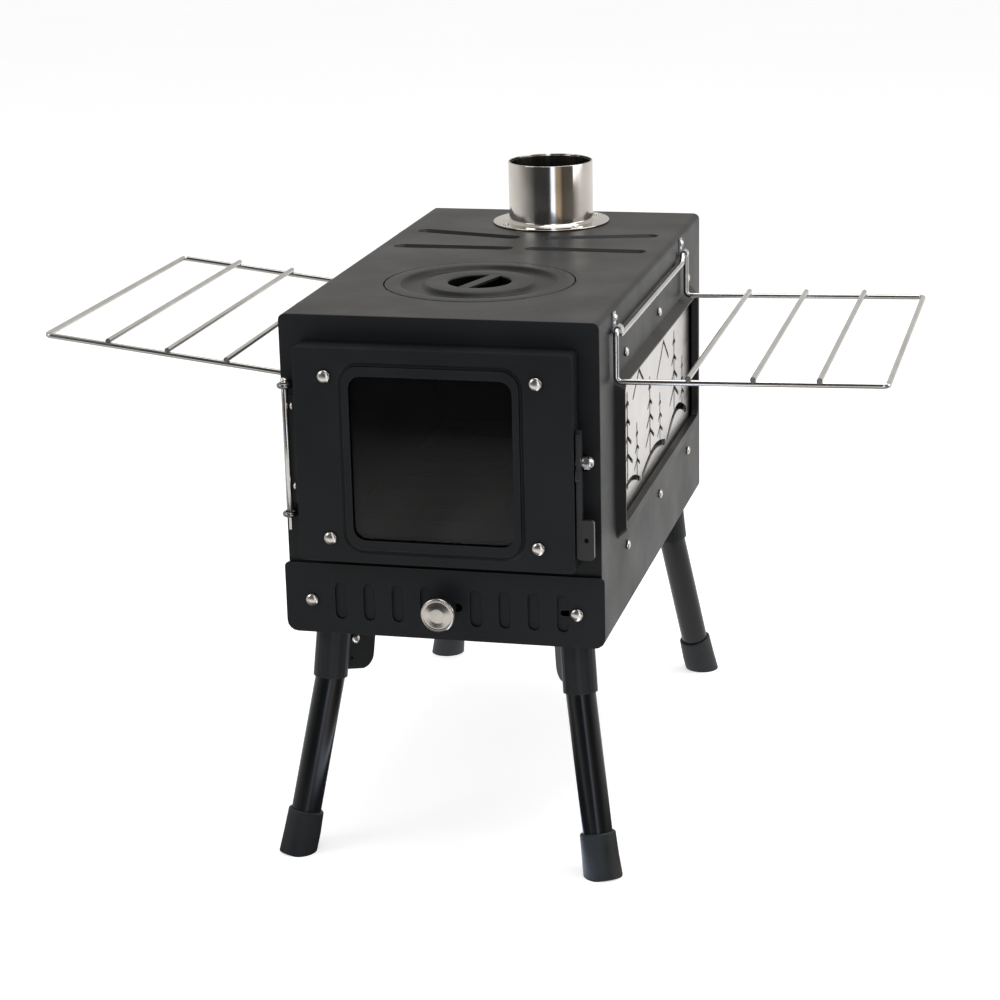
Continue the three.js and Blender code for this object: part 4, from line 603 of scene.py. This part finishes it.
class Workshop:
    """Holds the frame and the finished materials, and makes pieces."""

    def __init__(self, frame: dict) -> None:
        self.frame = frame
        self.materials = {key: finish.material() for key, finish in FINISHES.items()}

    def dress(self, nodes: Iterable[str], finish: str) -> None:
        """Give CAD nodes a finish.

        Args:
            nodes: the nodes' names.
            finish: key of the finish.
        """
        for name in nodes:
            mesh = self.frame["nodes"][name].data
            mesh.materials.clear()
            mesh.materials.append(self.materials[finish])
            log.info("%s wears %s", name, finish)

    def piece(self, name: str, surface: Surface, body: str, slot: Slot, finish: str, node: str) -> None:
        """Make one piece from a surface.

        Args:
            name: the piece's name.
            surface: its mesh, in the firebox frame.
            body: the body that it rides on.
            slot: the record's material slot; not used.
            finish: key of its finish.
            node: the CAD node that it replaces, alone or with others.
        """
        mesh = bpy.data.meshes.new(name)
        mesh.from_pydata(((surface.points + SHIFT) * MM).tolist(), [], surface.faces)
        mesh.validate()
        weld(mesh)
        mesh.shade_smooth()
        mesh.set_sharp_from_angle(angle=SHARP_EDGE)
        mesh.materials.append(self.materials[finish])
        item = bpy.data.objects.new(name, mesh)
        bpy.context.scene.collection.objects.link(item)
        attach(item, body)
        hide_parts(node)
        log.info("%s made, %d faces", name, len(mesh.polygons))

    def fastener(
        self, kind: Fastener, node: str, place: Sequence[float], direction: Sequence[float], body: str
    ) -> None:
        """Make one domed fastener, seated at a place, instead of its CAD node."""
        surface = kind.surface(place, direction)
        self.piece(f"{node}_domed", surface, body, Slot.FASTENERS, "fastener", node)


def weld(mesh: bpy.types.Mesh) -> None:
    """Merge doubled points and turn all faces outwards.

    Args:
        mesh: the mesh to clean in place.
    """
    work = bmesh.new()
    work.from_mesh(mesh)
    bmesh.ops.remove_doubles(work, verts=work.verts, dist=WELD_REACH)
    bmesh.ops.recalc_face_normals(work, faces=work.faces)
    work.to_mesh(mesh)
    work.free()


# ---------------------------------------------------------------- fasteners
def dome(radius: float, height: float, rim: float) -> Array:
    """The profile of a domed head standing on z = 0.

    Over the rim the height is rim + (height - rim) * cos(a), at radius * sin(a), for a from a quarter
    turn down to 0.

    Args:
        radius: of the head, mm.
        height: of the head, mm.
        rim: height of its straight edge, mm.
    Returns:
        (radius, height) rows.
    """
    a = np.linspace(np.pi / 2, 0.0, 9)
    arc = np.stack([radius * np.sin(a), rim + (height - rim) * np.cos(a)], axis=-1)
    return np.vstack([[0, 0], [radius * 0.96, 0], [radius, rim * 0.3], arc])


def rod(radius: float, low: float, high: float, sides: int) -> Surface:
    """A straight rod about +Z between two heights, or a nut where it has six sides."""
    return revolved([[0, low], [radius, low], [radius, high], [0, high]], sides)


@dataclass
class Fastener:
    """A screw, rivet or bolt: domed head, shank and a nut or tail, along one direction."""

    head_radius: float
    head_height: float
    shank_radius: float
    shank_length: float
    nut_radius: float
    nut_height: float
    nut_from: float
    nut_sides: int = 6

    def surface(self, place: Sequence[float], direction: Sequence[float]) -> Surface:
        """The fastener's mesh.

        Args:
            place: middle of the head's seat, mm.
            direction: outward direction of its head.
        Returns:
            Head, shank and nut, which overlap each other.
        """
        head = revolved(dome(self.head_radius, self.head_height, self.head_height * 0.25), 32)
        shank = rod(self.shank_radius, -self.shank_length, 0.3, 16)
        nut = rod(self.nut_radius, -self.nut_from - self.nut_height, -self.nut_from, self.nut_sides)
        return head.joined(shank, nut).moved(aim(direction), place)


SIDE_RIVET = Fastener(3.0, 2.0, 1.5, 5.6, 2.4, 1.7, 4.3, 24)
DOOR_SCREW = Fastener(4.1, 2.4, 1.6, 10.3, 3.4, 2.6, 8.6)
VENT_SCREW = Fastener(4.1, 2.4, 1.6, 5.4, 3.4, 2.6, 4.6)
LEAF_SCREW = Fastener(2.5, 2.2, 1.5, 4.4, 2.3, 1.6, 2.9)
LEG_BOLT = Fastener(3.3, 2.0, 1.7, 8.7, 3.0, 2.4, 6.0)


# ---------------------------------------------------------------- sub-assemblies
@dataclass
class Firebox:
    """Folded sheet body, its floor, grate and inner frames."""

    shop: Workshop
    rivet_ys: tuple[float, ...] = (80.0, 195.0, 306.0)
    rivet_zs: tuple[tuple[str, float], ...] = (("bottom", 40.5), ("top", 167.0))
    face_x: float = 100.3

    def build(self) -> None:
        """Dress the sheet nodes and make the six side rivets."""
        self.shop.dress(["body_wrap", "back_panel"], "coat")
        self.shop.dress(["front_panel"], "front")
        inner = ["bottom_pan", "fire_grate", "side_clamp_frame", "leg_rail_front", "leg_rail_rear"]
        self.shop.dress(inner, "inner")
        # the seat ring is near-black: sooty steel, and painted shade seen through the gap round the lid
        self.shop.dress(["hob_seat_ring"], "soot_and_painted_shade")
        self.shop.dress(["art_plate"], "plate")
        self.shop.dress(["side_glass"], "side_glass")
        for row, z in self.rivet_zs:
            for i, y in enumerate(self.rivet_ys, start=1):
                place = (self.face_x, y, z)
                self.shop.fastener(SIDE_RIVET, f"side_rivet_{row}_{i}", place, (1, 0, 0), Body.FIREBOX.value)


@dataclass
class Hob:
    """Lift-off lid with its pressed ring and the lifter cup in the middle."""

    shop: Workshop
    middle_y: float = 108.0
    top: float = 203.2
    radius: float = 61.0
    thick: float = 1.5
    ring_inner: float = 36.0
    ring_outer: float = 50.0
    ring_depth: float = 2.8
    ring_slope: float = 1.1
    cup_radius: float = 20.5
    cup_depth: float = 10.0
    bar_width: float = 7.5
    bar_angle: float = 74.0
    rounding: float = 0.9
    # thickness of the near-black layer in the cup, which is painted shade, mm
    soot_and_painted_shade: float = 0.15

    def profile(self) -> Array:
        """Half of the lid's section, from the middle of its underside round to the middle of its top."""
        t, w = self.thick, self.ring_slope
        cup, sunk = self.cup_radius, -self.cup_depth
        near, far, ring = self.ring_inner, self.ring_outer, -self.ring_depth
        upper = [[0, sunk], [cup - 1, sunk], [cup, 0], [near - 1.2, 0]]
        upper += [[near + w, ring], [far - w, ring], [far + 1.2, 0], [self.radius, 0]]
        lower = [[self.radius, -t], [far + 1.7, -t], [far - w, ring - t], [near + w, ring - t]]
        lower += [[near - 1.7, -t], [cup + t, -t], [cup + t - 1, sunk - t], [0, sunk - t]]
        return rounded_profile((upper + lower)[::-1], self.rounding)

    def lining(self) -> Surface:
        """A thin near-black layer over the cup's floor and wall: painted shade in the cup's hollow."""
        floor, wall, rim = 0.05 - self.cup_depth, self.cup_radius - 1.15, -0.9
        inner, raised = wall - self.soot_and_painted_shade, floor + self.soot_and_painted_shade
        outside = [[0, floor], [wall, floor], [wall + 0.9, rim]]
        inside = [[inner + 0.9, rim], [inner, raised], [0, raised]]
        return revolved(outside + inside, 96)

    def build(self) -> None:
        """Make the lid as one turned sheet with the bar across its cup, and the painted shade layer in the
        cup.
        """
        reach, half = self.cup_radius + 0.4, self.bar_width / 2
        turn = np.array(Matrix.Rotation(math.radians(self.bar_angle), 3, "Z"))
        bar = block((-reach, -half, -self.thick), (reach, half, 0)).moved(turn, (0, 0, 0))
        lid = revolved(self.profile(), 128).joined(bar)
        # the cup's near-black lining is painted shade
        pieces = (("hob_lid_pressed", lid, "coat"), ("hob_cup_painted_shade", self.lining(), "soot_and_painted_shade"))
        for name, surface, finish in pieces:
            placed = surface.moved(UNTURNED, (0, self.middle_y, self.top))
            self.shop.piece(name, placed, Body.HOB.value, Slot.BLACK_STEEL, finish, "hob_lid")


@dataclass
class Flue:
    """Stainless collar with its riveted flange and a dark bore lining that is painted shade."""

    shop: Workshop
    middle_y: float = 318.0
    base: float = 203.3
    outer: float = 30.0
    wall: float = 1.0
    root: float = 1.8
    height: float = 43.7
    flange: float = 41.5
    rivet: tuple[float, float, float] = (2.3, 1.2, 0.4)
    rivet_circle: float = 36.0
    rivet_angles: tuple[float, ...] = (40, 130, 220, 310)

    def collar(self) -> Surface:
        """The collar and its flange as one turned sheet, with four flat rivets."""
        r, t, inside = self.outer, self.wall, self.outer - self.wall
        corners = [[inside, 0], [self.flange, 0], [self.flange, t], [r + self.root, t], [r, t + self.root]]
        corners += [[r, self.height], [inside, self.height], [inside, 0.0]]
        surface = revolved(rounded_profile(corners, 0.4), 128)
        rivet = revolved(dome(*self.rivet), 24)
        a = np.radians(self.rivet_angles)
        for x, y in zip(self.rivet_circle * np.cos(a), self.rivet_circle * np.sin(a)):
            surface = surface.joined(rivet.moved(UNTURNED, (x, y, t - 0.1)))
        return surface

    def lining(self) -> Surface:
        """A thin dark skin inside the bore: painted shade that dims its reflections."""
        outside, low, high = self.outer - self.wall - 0.05, 0.6, self.height - 1.5
        inside = self.outer - self.wall - 0.3
        return revolved([[inside, low], [outside, low], [outside, high], [inside, high]], 128)

    def build(self) -> None:
        """Make the collar and its lining."""
        pieces = (
            ("flue_collar_turned", self.collar(), "stainless"),
            # the bore's dark lining is painted shade
            ("flue_bore_painted_shade", self.lining(), "bore"),
        )
        for name, surface, finish in pieces:
            placed = surface.moved(UNTURNED, (0, self.middle_y, self.base))
            self.shop.piece(name, placed, Body.FIREBOX.value, Slot.STAINLESS, finish, "flue_collar")


@dataclass
class Door:
    """Folded door with glass, clamp and four screws."""

    shop: Workshop
    face: float = -16.3
    screw_xs: tuple[float, float] = (-67.0, 64.6)
    screw_zs: tuple[float, float] = (66.05, 168.65)

    def build(self) -> None:
        """Dress the door's nodes and make its screws."""
        self.shop.dress(["door_panel"], "door")
        self.shop.dress(["glass_clamp"], "inner")
        self.shop.dress(["door_glass"], "glass")
        places = [(x, self.face, z) for x in self.screw_xs for z in self.screw_zs]
        for i, place in enumerate(places, start=1):
            self.shop.fastener(DOOR_SCREW, f"door_screw_{i}", place, (0, -1, 0), Body.DOOR.value)


@dataclass
class Hinge:
    """Two eye bolts, the pin through them, and the door's knuckle and black leaf with its two nuts."""

    shop: Workshop
    x: float = -95.0
    y: float = -8.0
    eyes: tuple[tuple[str, float], ...] = (("upper", 160.0), ("lower", 78.0))
    ring: float = 3.3
    wire: float = 1.7
    eye_length: float = 18.8
    eye_nut: float = 2.7
    eye_nut_height: float = 2.6
    pin: float = 1.2
    pin_head: tuple[float, float, float] = (2.7, 3.0, 1.2)
    tail: float = 67.5
    knuckle: tuple[float, float] = (1.5, 2.3)
    knuckle_span: tuple[float, float] = (80.0, 158.0)
    leaf_x: float = -88.5
    leaf_span: tuple[float, float] = (86.3, 154.3)
    leaf_ys: tuple[float, float] = (-15.0, -3.0)
    leaf_corner: float = 2.0
    sheet: float = 1.2
    nut_y: float = -12.0
    nut_zs: tuple[float, float] = (97.3, 148.3)

    def eye(self, name: str, z: float) -> None:
        """One eye bolt: a ring of wire on a threaded shank with its nut.

        Args:
            name: upper or lower.
            z: height of the ring, mm.
        """
        ring = ring_torus((self.x, self.y, z), self.ring, self.wire)
        end = self.eye_length
        shank = rod(self.wire, 0, end, 24).joined(rod(self.eye_nut, end - self.eye_nut_height, end, 6))
        placed = ring.joined(shank.moved(aim((0, 1, 0)), (self.x, self.y + self.ring, z)))
        node = f"hinge_eye_{name}"
        self.shop.piece(f"{node}_bent", placed, Body.FIREBOX.value, Slot.BLACK_STEEL, "eye", node)

    def leaf(self) -> None:
        """The knuckle, the folded leaf on the door's edge and its two nuts, which stand for one node."""
        (inner, outer), (low, high) = self.knuckle, self.knuckle_span
        edge = [[outer - 0.2, low], [outer, low + 0.3], [outer, high - 0.3], [outer - 0.2, high]]
        sleeve = revolved([[inner, low], *edge, [inner, high]], 32).moved(UNTURNED, (self.x, self.y, 0))
        bottom, top = self.leaf_span
        front, back = self.leaf_ys
        upright = [[0, 0, 1], [1, 0, 0], [0, 1, 0]]
        middle = (self.leaf_x, (front + back) / 2, (bottom + top) / 2)
        outline = rounded_outline(back - front, top - bottom, self.leaf_corner)
        plate = prism(outline, 0.0, self.sheet).moved(upright, middle)
        start, half = self.x + outer - 0.4, self.sheet / 2
        web = block((start, self.y - half, bottom), (self.leaf_x + 0.6, self.y + half, top))
        nuts = [LEAF_SCREW.surface((self.leaf_x, self.nut_y, z), (-1, 0, 0)) for z in self.nut_zs]
        pieces = (
            ("hinge_knuckle_rolled", sleeve, Slot.FASTENERS, "wire"),
            ("hinge_leaf_folded", plate.joined(web), Slot.BLACK_STEEL, "door"),
            ("hinge_leaf_screws", nuts[0].joined(nuts[1]), Slot.FASTENERS, "fastener"),
        )
        for name, surface, slot, finish in pieces:
            self.shop.piece(name, surface, Body.DOOR.value, slot, finish, "hinge_leaf")

    def build(self) -> None:
        """Make the eyes, the leaf and the pin."""
        for name, z in self.eyes:
            self.eye(name, z)
        self.leaf()
        seat, tail, r = self.eyes[0][1] + self.wire + 0.3, self.tail, self.pin
        shaft = revolved([[0, tail], [r * 0.6, tail], [r, tail + 0.6], [r, seat + 0.5], [0, seat + 0.5]], 20)
        head = revolved(dome(*self.pin_head), 32).moved(UNTURNED, (0, 0, seat))
        placed = shaft.joined(head).moved(UNTURNED, (self.x, self.y, 0))
        self.shop.piece(
            "hinge_pin_turned", placed, Body.FIREBOX.value, Slot.FASTENERS, "fastener", "hinge_pin"
        )


@dataclass
class Latch:
    """Door latch: lever, bolt and domed nut."""

    shop: Workshop

    def build(self) -> None:
        """Dress the latch's nodes."""
        self.shop.dress(["latch_lever"], "latch")
        self.shop.dress(["latch_bolt", "latch_nut"], "fastener")


@dataclass
class AirVent:
    """Slotted plate, slider behind it, knob and two screws."""

    shop: Workshop
    knob_x: float = 0.4
    z: float = 20.5
    start: float = -1.6
    knob_radius: float = 11.0
    stem_radius: float = 2.5
    collar_radius: float = 5.2
    neck_radius: float = 3.2
    knob_front: float = -20.4
    screw_x: float = 85.0
    screw_face: float = -3.1

    def knob(self) -> Array:
        """Half of the knob's section, from its stem's end to the middle of its face."""
        front, r = self.start - self.knob_front, self.knob_radius
        stem, collar, neck = self.stem_radius, self.collar_radius, self.neck_radius
        corners = [[0, 0], [stem, 0], [stem, 1.5], [collar, 1.5], [collar, 3.9], [neck, 4.3]]
        corners += [[neck, front - 7.6], [r - 1.2, front - 6.8], [r, front - 5.4], [r, front - 2.0]]
        corners += [[r - 1.0, front - 0.9], [r - 2.2, front - 1.3], [r * 0.42, front - 0.35], [0, front]]
        return rounded_profile(corners, 0.7)

    def build(self) -> None:
        """Dress the plates, turn the knob and make the screws."""
        self.shop.dress(["vent_plate", "vent_slider"], "door")
        knob = revolved(self.knob(), 80).moved(aim((0, -1, 0)), (self.knob_x, self.start, self.z))
        self.shop.piece("vent_knob_turned", knob, Body.VENT.value, Slot.FASTENERS, "knob", "vent_knob")
        for name, x in (("left", -self.screw_x), ("right", self.screw_x)):
            place = (x, self.screw_face, self.z)
            self.shop.fastener(VENT_SCREW, f"vent_screw_{name}", place, (0, -1, 0), Body.FIREBOX.value)


@dataclass
class Rack:
    """One folding rack: a closed loop of wire with cross wires."""

    shop: Workshop
    name: str
    side: int
    tilt: float
    drop: float
    reach: float
    body: Body
    wire: float = 1.8
    width: float = 250.0
    middle_y: float = 159.7
    cross: tuple[float, ...] = (44.5, 84.0, 124.0)
    axis_x: float = 103.2
    axis_z: float = 190.0
    bar_drop: float = 5.0
    bar_inset: float = 17.0
    tip: float = 12.5
    bend: float = 3.2

    def out(self, r: float, y: float, up: float = 0.0) -> list[float]:
        """A point on the tilted rack.

        Args:
            r: distance outwards from the uprights, mm.
            y: place along the stove, mm.
            up: height above the rails, mm.
        Returns:
            The point in the firebox frame.
        """
        a = math.radians(self.tilt)
        x = self.axis_x + r * math.cos(a) - up * math.sin(a)
        z = self.axis_z - self.drop + r * math.sin(a) + up * math.cos(a)
        return [self.side * x, y, z]

    def build(self) -> None:
        """Make the loop and its cross wires, and dress the clips."""
        front, rear = self.middle_y - self.width / 2, self.middle_y + self.width / 2
        x = self.side * self.axis_x
        bar_z = self.axis_z - self.bar_drop
        loop = [
            [x, front + self.bar_inset, bar_z],
            [x, front + self.tip, self.axis_z],
            [x, front, self.axis_z],
            self.out(0, front),
            self.out(self.reach, front),
            self.out(self.reach, rear),
            self.out(0, rear),
            [x, rear, self.axis_z],
            [x, rear - self.tip, self.axis_z],
            [x, rear - self.bar_inset, bar_z],
        ]
        surface = swept(bent_loop(loop, self.bend), self.wire, closed=True)
        level = 1.6 * self.wire
        for r in self.cross:
            ends = [self.out(r, y, level) for y in (front - self.wire, rear + self.wire)]
            surface = surface.joined(swept(np.array(ends), self.wire))
        node = f"rack_{self.name}"
        self.shop.piece(f"{node}_bent", surface, self.body.value, Slot.WIRE, "wire", node)
        self.shop.dress([f"rack_clip_{self.name}_{end}" for end in ("front", "rear")], "wire")


@dataclass
class Leg:
    """One folding leg: tube, rubber foot and pivot bolt on the CAD socket."""

    shop: Workshop
    name: str
    x_side: int
    y_side: int
    azimuth: float = 55.0
    pivot: tuple[float, float, float] = (71.3, 32.5, -16.5)
    length: float = 360.0
    stand: float = 149.0
    socket_splay: float = 8.0
    tube_splay: float = 15.7
    tube_radius: float = 9.5
    offset: float = 15.5
    mouth_z: float = -23.0
    cap_height: float = 27.0
    tube_top: float = 19.5
    tube_end: float = 9.3
    foot_radii: tuple[float, ...] = (9.7, 10.7, 11.4, 11.8, 12.5)
    foot_sole: float = 2.4
    bolt_out: float = 3.0

    def place(self, surface: Surface) -> Surface:
        """Carry a surface from the leg's own frame to the firebox frame.

        Args:
            surface: made with the pivot at the origin, +X inboard and +Z up the socket.
        Returns:
            The placed surface.
        """
        a = math.radians(self.azimuth)
        turn = math.atan2(self.y_side * math.sin(a), -self.x_side * math.cos(a))
        tilt = Matrix.Rotation(math.radians(self.socket_splay), 3, "Y")
        matrix = np.array(Matrix.Rotation(turn, 3, "Z") @ tilt)
        x, y, z = self.pivot
        return surface.moved(matrix, (self.x_side * x, y if self.y_side > 0 else self.length - y, z))

    def tube_length(self) -> float:
        """How far the tube runs from the socket's mouth to the floor, mm."""
        splay = math.radians(self.socket_splay)
        mouth = self.offset * math.sin(splay) + self.mouth_z * math.cos(splay)
        return (self.stand + self.pivot[2] + mouth) / math.cos(math.radians(self.tube_splay))

    def build(self) -> None:
        """Make the tube, foot and bolt, and dress the socket."""
        body = f"leg_{self.name}"
        self.shop.dress([f"leg_socket_{self.name}"], "socket")
        extra = math.radians(self.tube_splay - self.socket_splay)
        down = np.array([-math.sin(extra), 0.0, -math.cos(extra)])
        mouth = np.array([-self.offset, 0.0, self.mouth_z])
        length, inside = self.tube_length(), [0, 0, -1]
        top = np.array([-self.offset, 0.0, self.tube_top])
        bend = [mouth + [0, 0, 3], mouth + [-0.2, 0, -1], mouth + down * 5]
        axes = np.vstack([inside, inside, down + inside, down, down])
        centres = np.vstack([top, *bend, mouth + down * (length - self.tube_end)])
        tube = self.place(lofted(centres, axes, [self.tube_radius] * 5))
        start = length - self.cap_height
        swell = start + self.cap_height * 0.55
        along = np.array([start, start, start + 0.8, swell, length + self.foot_sole])
        foot = lofted(mouth + along[:, None] * down, np.tile(down, (5, 1)), self.foot_radii)
        foot = self.place(foot)
        foot.points[:, 2] = np.maximum(foot.points[:, 2], -self.stand)
        bolt = LEG_BOLT.surface((0, self.bolt_out * self.x_side, 0), (0, self.x_side, 0))
        pieces = (
            ("leg_tube", "drawn", tube, Slot.LEG_BLACK, "leg"),
            ("foot_cap", "moulded", foot, Slot.RUBBER, "rubber"),
            ("leg_bolt", "domed", self.place(bolt), Slot.FASTENERS, "fastener"),
        )
        for kind, made, surface, slot, finish in pieces:
            node = f"{kind}_{self.name}"
            self.shop.piece(f"{node}_{made}", surface, body, slot, finish, node)


# ---------------------------------------------------------------- studio
@dataclass
class Studio:
    """Camera fitted to the photograph, pale floor, soft lamps and world."""

    camera_place: tuple[float, float, float] = (403.204, -1455.806, 541.667)
    yaw: float = 14.114
    pitch: float = 16.717
    roll: float = -1.363
    lens: float = 92.48
    floor_half: float = 15.0
    floor_glow: float = 0.62
    fill: float = 0.42
    card_fade: float = 0.33
    card_far: float = 0.25
    card_low: tuple[float, float] = (-0.75, -1.18)
    card_high: tuple[float, float] = (0.90, -0.40)
    card_glow: float = 0.95
    card_level: float = 0.002
    aim_point: tuple[float, float, float] = (0, 0, 0.2)
    lamps: tuple[tuple[str, tuple[float, float, float], float, float], ...] = (
        ("lamp_top", (0.3, 0.2, 1.9), 1.6, 16),
        ("lamp_left", (-1.6, -1.2, 1.3), 1.0, 9),
        ("lamp_right", (1.7, 0.2, 0.9), 1.2, 9),
    )
    bearings: tuple[tuple[float, tuple[float, float, float]], ...] = (
        (-180, (0.92, 0.91, 0.90)),
        (-120, (0.90, 0.90, 0.88)),
        (-85, (0.70, 0.70, 0.69)),
        (-52, (0.30, 0.30, 0.30)),
        (-30, (0.07, 0.07, 0.075)),
        (11, (0.07, 0.07, 0.075)),
        (15, (2.20, 2.50, 3.10)),
        (22, (2.20, 2.50, 3.10)),
        (26, (0.66, 0.52, 0.37)),
        (38, (0.50, 0.40, 0.29)),
        (44, (0.13, 0.11, 0.09)),
        (75, (0.16, 0.15, 0.14)),
        (100, (0.72, 0.71, 0.70)),
        (150, (0.92, 0.91, 0.90)),
    )
    wall_tint: tuple[float, float, float] = (0.70, 0.69, 0.67)

    def camera(self) -> None:
        """Set the camera by its place, yaw, pitch down and roll."""
        yaw, pitch, roll = (math.radians(v) for v in (self.yaw, self.pitch, self.roll))
        level = math.cos(pitch)
        forward = Vector((-math.sin(yaw) * level, math.cos(yaw) * level, -math.sin(pitch)))
        right0 = Vector((math.cos(yaw), math.sin(yaw), 0))
        up0 = right0.cross(forward)
        right = math.cos(roll) * right0 + math.sin(roll) * up0
        up = -math.sin(roll) * right0 + math.cos(roll) * up0
        data = bpy.data.cameras.new("camera")
        data.lens = self.lens
        data.sensor_width = 36.0
        data.clip_end = 50.0
        item = bpy.data.objects.new("camera", data)
        rotation = Matrix((right, up, -forward)).transposed().to_4x4()
        place = Vector((np.array(self.camera_place) + SHIFT) * MM)
        item.matrix_world = Matrix.Translation(place) @ rotation
        bpy.context.scene.collection.objects.link(item)
        bpy.context.scene.camera = item

    def lamp(self, name: str, place: Sequence[float], size: float, power: float) -> None:
        """One square soft lamp that points at the stove.

        Args:
            name: the lamp's name.
            place: where it hangs, metres.
            size: its side, metres.
            power: watts.
        """
        data = bpy.data.lights.new(name, "AREA")
        data.shape = "SQUARE"
        data.size = size
        data.energy = power
        item = bpy.data.objects.new(name, data)
        item.location = place
        item.rotation_euler = (Vector(self.aim_point) - Vector(place)).to_track_quat("-Z", "Y").to_euler()
        bpy.context.scene.collection.objects.link(item)

    def surround(self, graph: Graph) -> object:
        """What gloss sees round the stove: pale behind and beside it, darker on the camera's side.

        The shade depends on the bearing atan2(x, -y) of a place round the stove, as a colour ramp.

        Args:
            graph: the tree to add to, whose coordinates are places or directions.
        Returns:
            The colour's socket.
        """
        parts = graph.add("ShaderNodeSeparateXYZ", {0: graph.place}).outputs
        bearing = graph.maths("ARCTAN2", parts["X"], graph.maths("MULTIPLY", parts["Y"], -1.0))
        share = graph.scaled(bearing, (-math.pi, math.pi), (0.0, 1.0))
        ramp = graph.add("ShaderNodeValToRGB", {"Fac": share})
        stops = ramp.color_ramp.elements
        while len(stops) > 1:
            stops.remove(stops[-1])
        for i, (degrees, colour) in enumerate(self.bearings):
            position = (degrees + 180.0) / 360.0
            stop = stops.new(position) if i else stops[0]
            stop.position, stop.color = position, (*colour, 1)
        return ramp.outputs["Color"]

    def sheet(self, nodes: Nodes, low: Sequence[float], high: Sequence[float], z: float) -> bpy.types.Object:
        """One level rectangle of the studio, which is not part of the stove.

        Args:
            nodes: its material's tree; the rectangle takes the material's name.
            low: its lowest corner, metres.
            high: its highest corner, metres.
            z: its height, metres.
        Returns:
            The rectangle's object.
        """
        name, (x0, y0), (x1, y1) = nodes.material.name, low, high
        mesh = bpy.data.meshes.new(name)
        mesh.from_pydata([(x0, y0, z), (x1, y0, z), (x1, y1, z), (x0, y1, z)], [], [(0, 1, 2, 3)])
        mesh.materials.append(nodes.material)
        item = bpy.data.objects.new(name, mesh)
        bpy.context.scene.collection.objects.link(item)
        return item

    def floor(self) -> None:
        """A pale floor that is white to the camera, keeps the shadow and shows gloss the surround."""
        nodes = Nodes("floor_white")
        pale = nodes.ramp(nodes.noise(3.0, 2.0), (0.8, 0.8, 0.8), (0.82, 0.82, 0.82))
        rays = nodes.add("ShaderNodeLightPath").outputs
        glow = nodes.maths("MULTIPLY", rays["Is Camera Ray"], self.floor_glow)
        nodes.set(Base_Color=pale, Roughness=0.9, Specular_IOR_Level=0.1)
        nodes.set(Emission_Color=(1, 1, 1, 1), Emission_Strength=glow)
        seen = nodes.add("ShaderNodeEmission", {"Color": self.surround(nodes)}).outputs[0]
        shown = nodes.chosen(rays["Is Glossy Ray"], nodes.shader.outputs[0], seen)
        nodes.feed(nodes.tree.nodes["Material Output"], {"Surface": shown})
        half = self.floor_half
        self.sheet(nodes, (-half, -half), (half, half), 0.0)

    def card(self) -> None:
        """A pale card on the floor that only gloss sees, brighter towards the stove."""
        nodes = Nodes("reflector_front")
        along = nodes.add("ShaderNodeSeparateXYZ", {0: nodes.place}).outputs["Y"]
        near, glow = self.card_low[1], self.card_glow
        fade = nodes.scaled(along, (near, near + self.card_fade), (glow * self.card_far, glow))
        streaks = nodes.spread(nodes.noise(5.0, 3.0, (3.0, 0.4, 1.0)), 0.7, 1.15)
        nodes.set(Base_Color=(0, 0, 0, 1), Specular_IOR_Level=0.0, Emission_Color=(1.0, 0.99, 0.97, 1))
        nodes.set(Emission_Strength=nodes.maths("MULTIPLY", fade, streaks))
        item = self.sheet(nodes, self.card_low, self.card_high, self.card_level)
        item.visible_camera = item.visible_diffuse = item.visible_shadow = item.visible_transmission = False

    def world(self) -> None:
        """A white surround for camera and glass, the shaded one for gloss, and a soft fill for the rest."""
        world = bpy.data.worlds.new("studio")
        bpy.context.scene.world = world
        world.use_nodes = True
        graph = Graph(world.node_tree, "Generated")
        fill = graph.tree.nodes["Background"]
        graph.feed(fill, {"Color": (1, 1, 1, 1), "Strength": self.fill})
        rays = graph.add("ShaderNodeLightPath").outputs
        dimmed = graph.vectors("MULTIPLY", self.surround(graph), self.wall_tint, "Vector")
        glossy = graph.add("ShaderNodeBackground", {"Color": dimmed}).outputs[0]
        white = graph.add("ShaderNodeBackground", {"Color": (1, 1, 1, 1)}).outputs[0]
        clear = graph.maths("MAXIMUM", rays["Is Camera Ray"], rays["Is Transmission Ray"])
        lit = graph.chosen(rays["Is Glossy Ray"], fill.outputs[0], glossy)
        graph.feed(graph.tree.nodes["World Output"], {"Surface": graph.chosen(clear, lit, white)})

    def build(self) -> None:
        """Set up camera, floor, world and lamps."""
        bpy.context.scene.view_settings.view_transform = "Standard"
        self.camera()
        self.floor()
        self.world()
        self.card()
        for lamp in self.lamps:
            self.lamp(*lamp)


def corners(box: Sequence[Iterable[float]]) -> list[list[float]]:
    """A box's lowest and highest corner as plain lists of numbers."""
    return [[float(v) for v in corner] for corner in box]


def main() -> None:
    """Build the stove's dress and the studio, in order."""
    logging.basicConfig(level=logging.INFO, format="%(name)s: %(message)s")
    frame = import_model()
    Studio().build()
    shop = Workshop(frame)
    parts = [
        Firebox(shop),
        Hob(shop),
        Flue(shop),
        Door(shop),
        Hinge(shop),
        Latch(shop),
        AirVent(shop),
        Rack(shop, "right", 1, 1.2, 31.0, 164.5, Body.RACK_RIGHT),
        Rack(shop, "left", -1, 6.9, 34.0, 166.5, Body.RACK_LEFT),
        Leg(shop, "front_left", -1, 1),
        Leg(shop, "front_right", 1, 1),
        Leg(shop, "rear_left", -1, -1),
        Leg(shop, "rear_right", 1, -1),
    ]
    for part in parts:
        part.build()
        log.info("%s done", type(part).__name__)


if __name__ == "__main__":
    main()
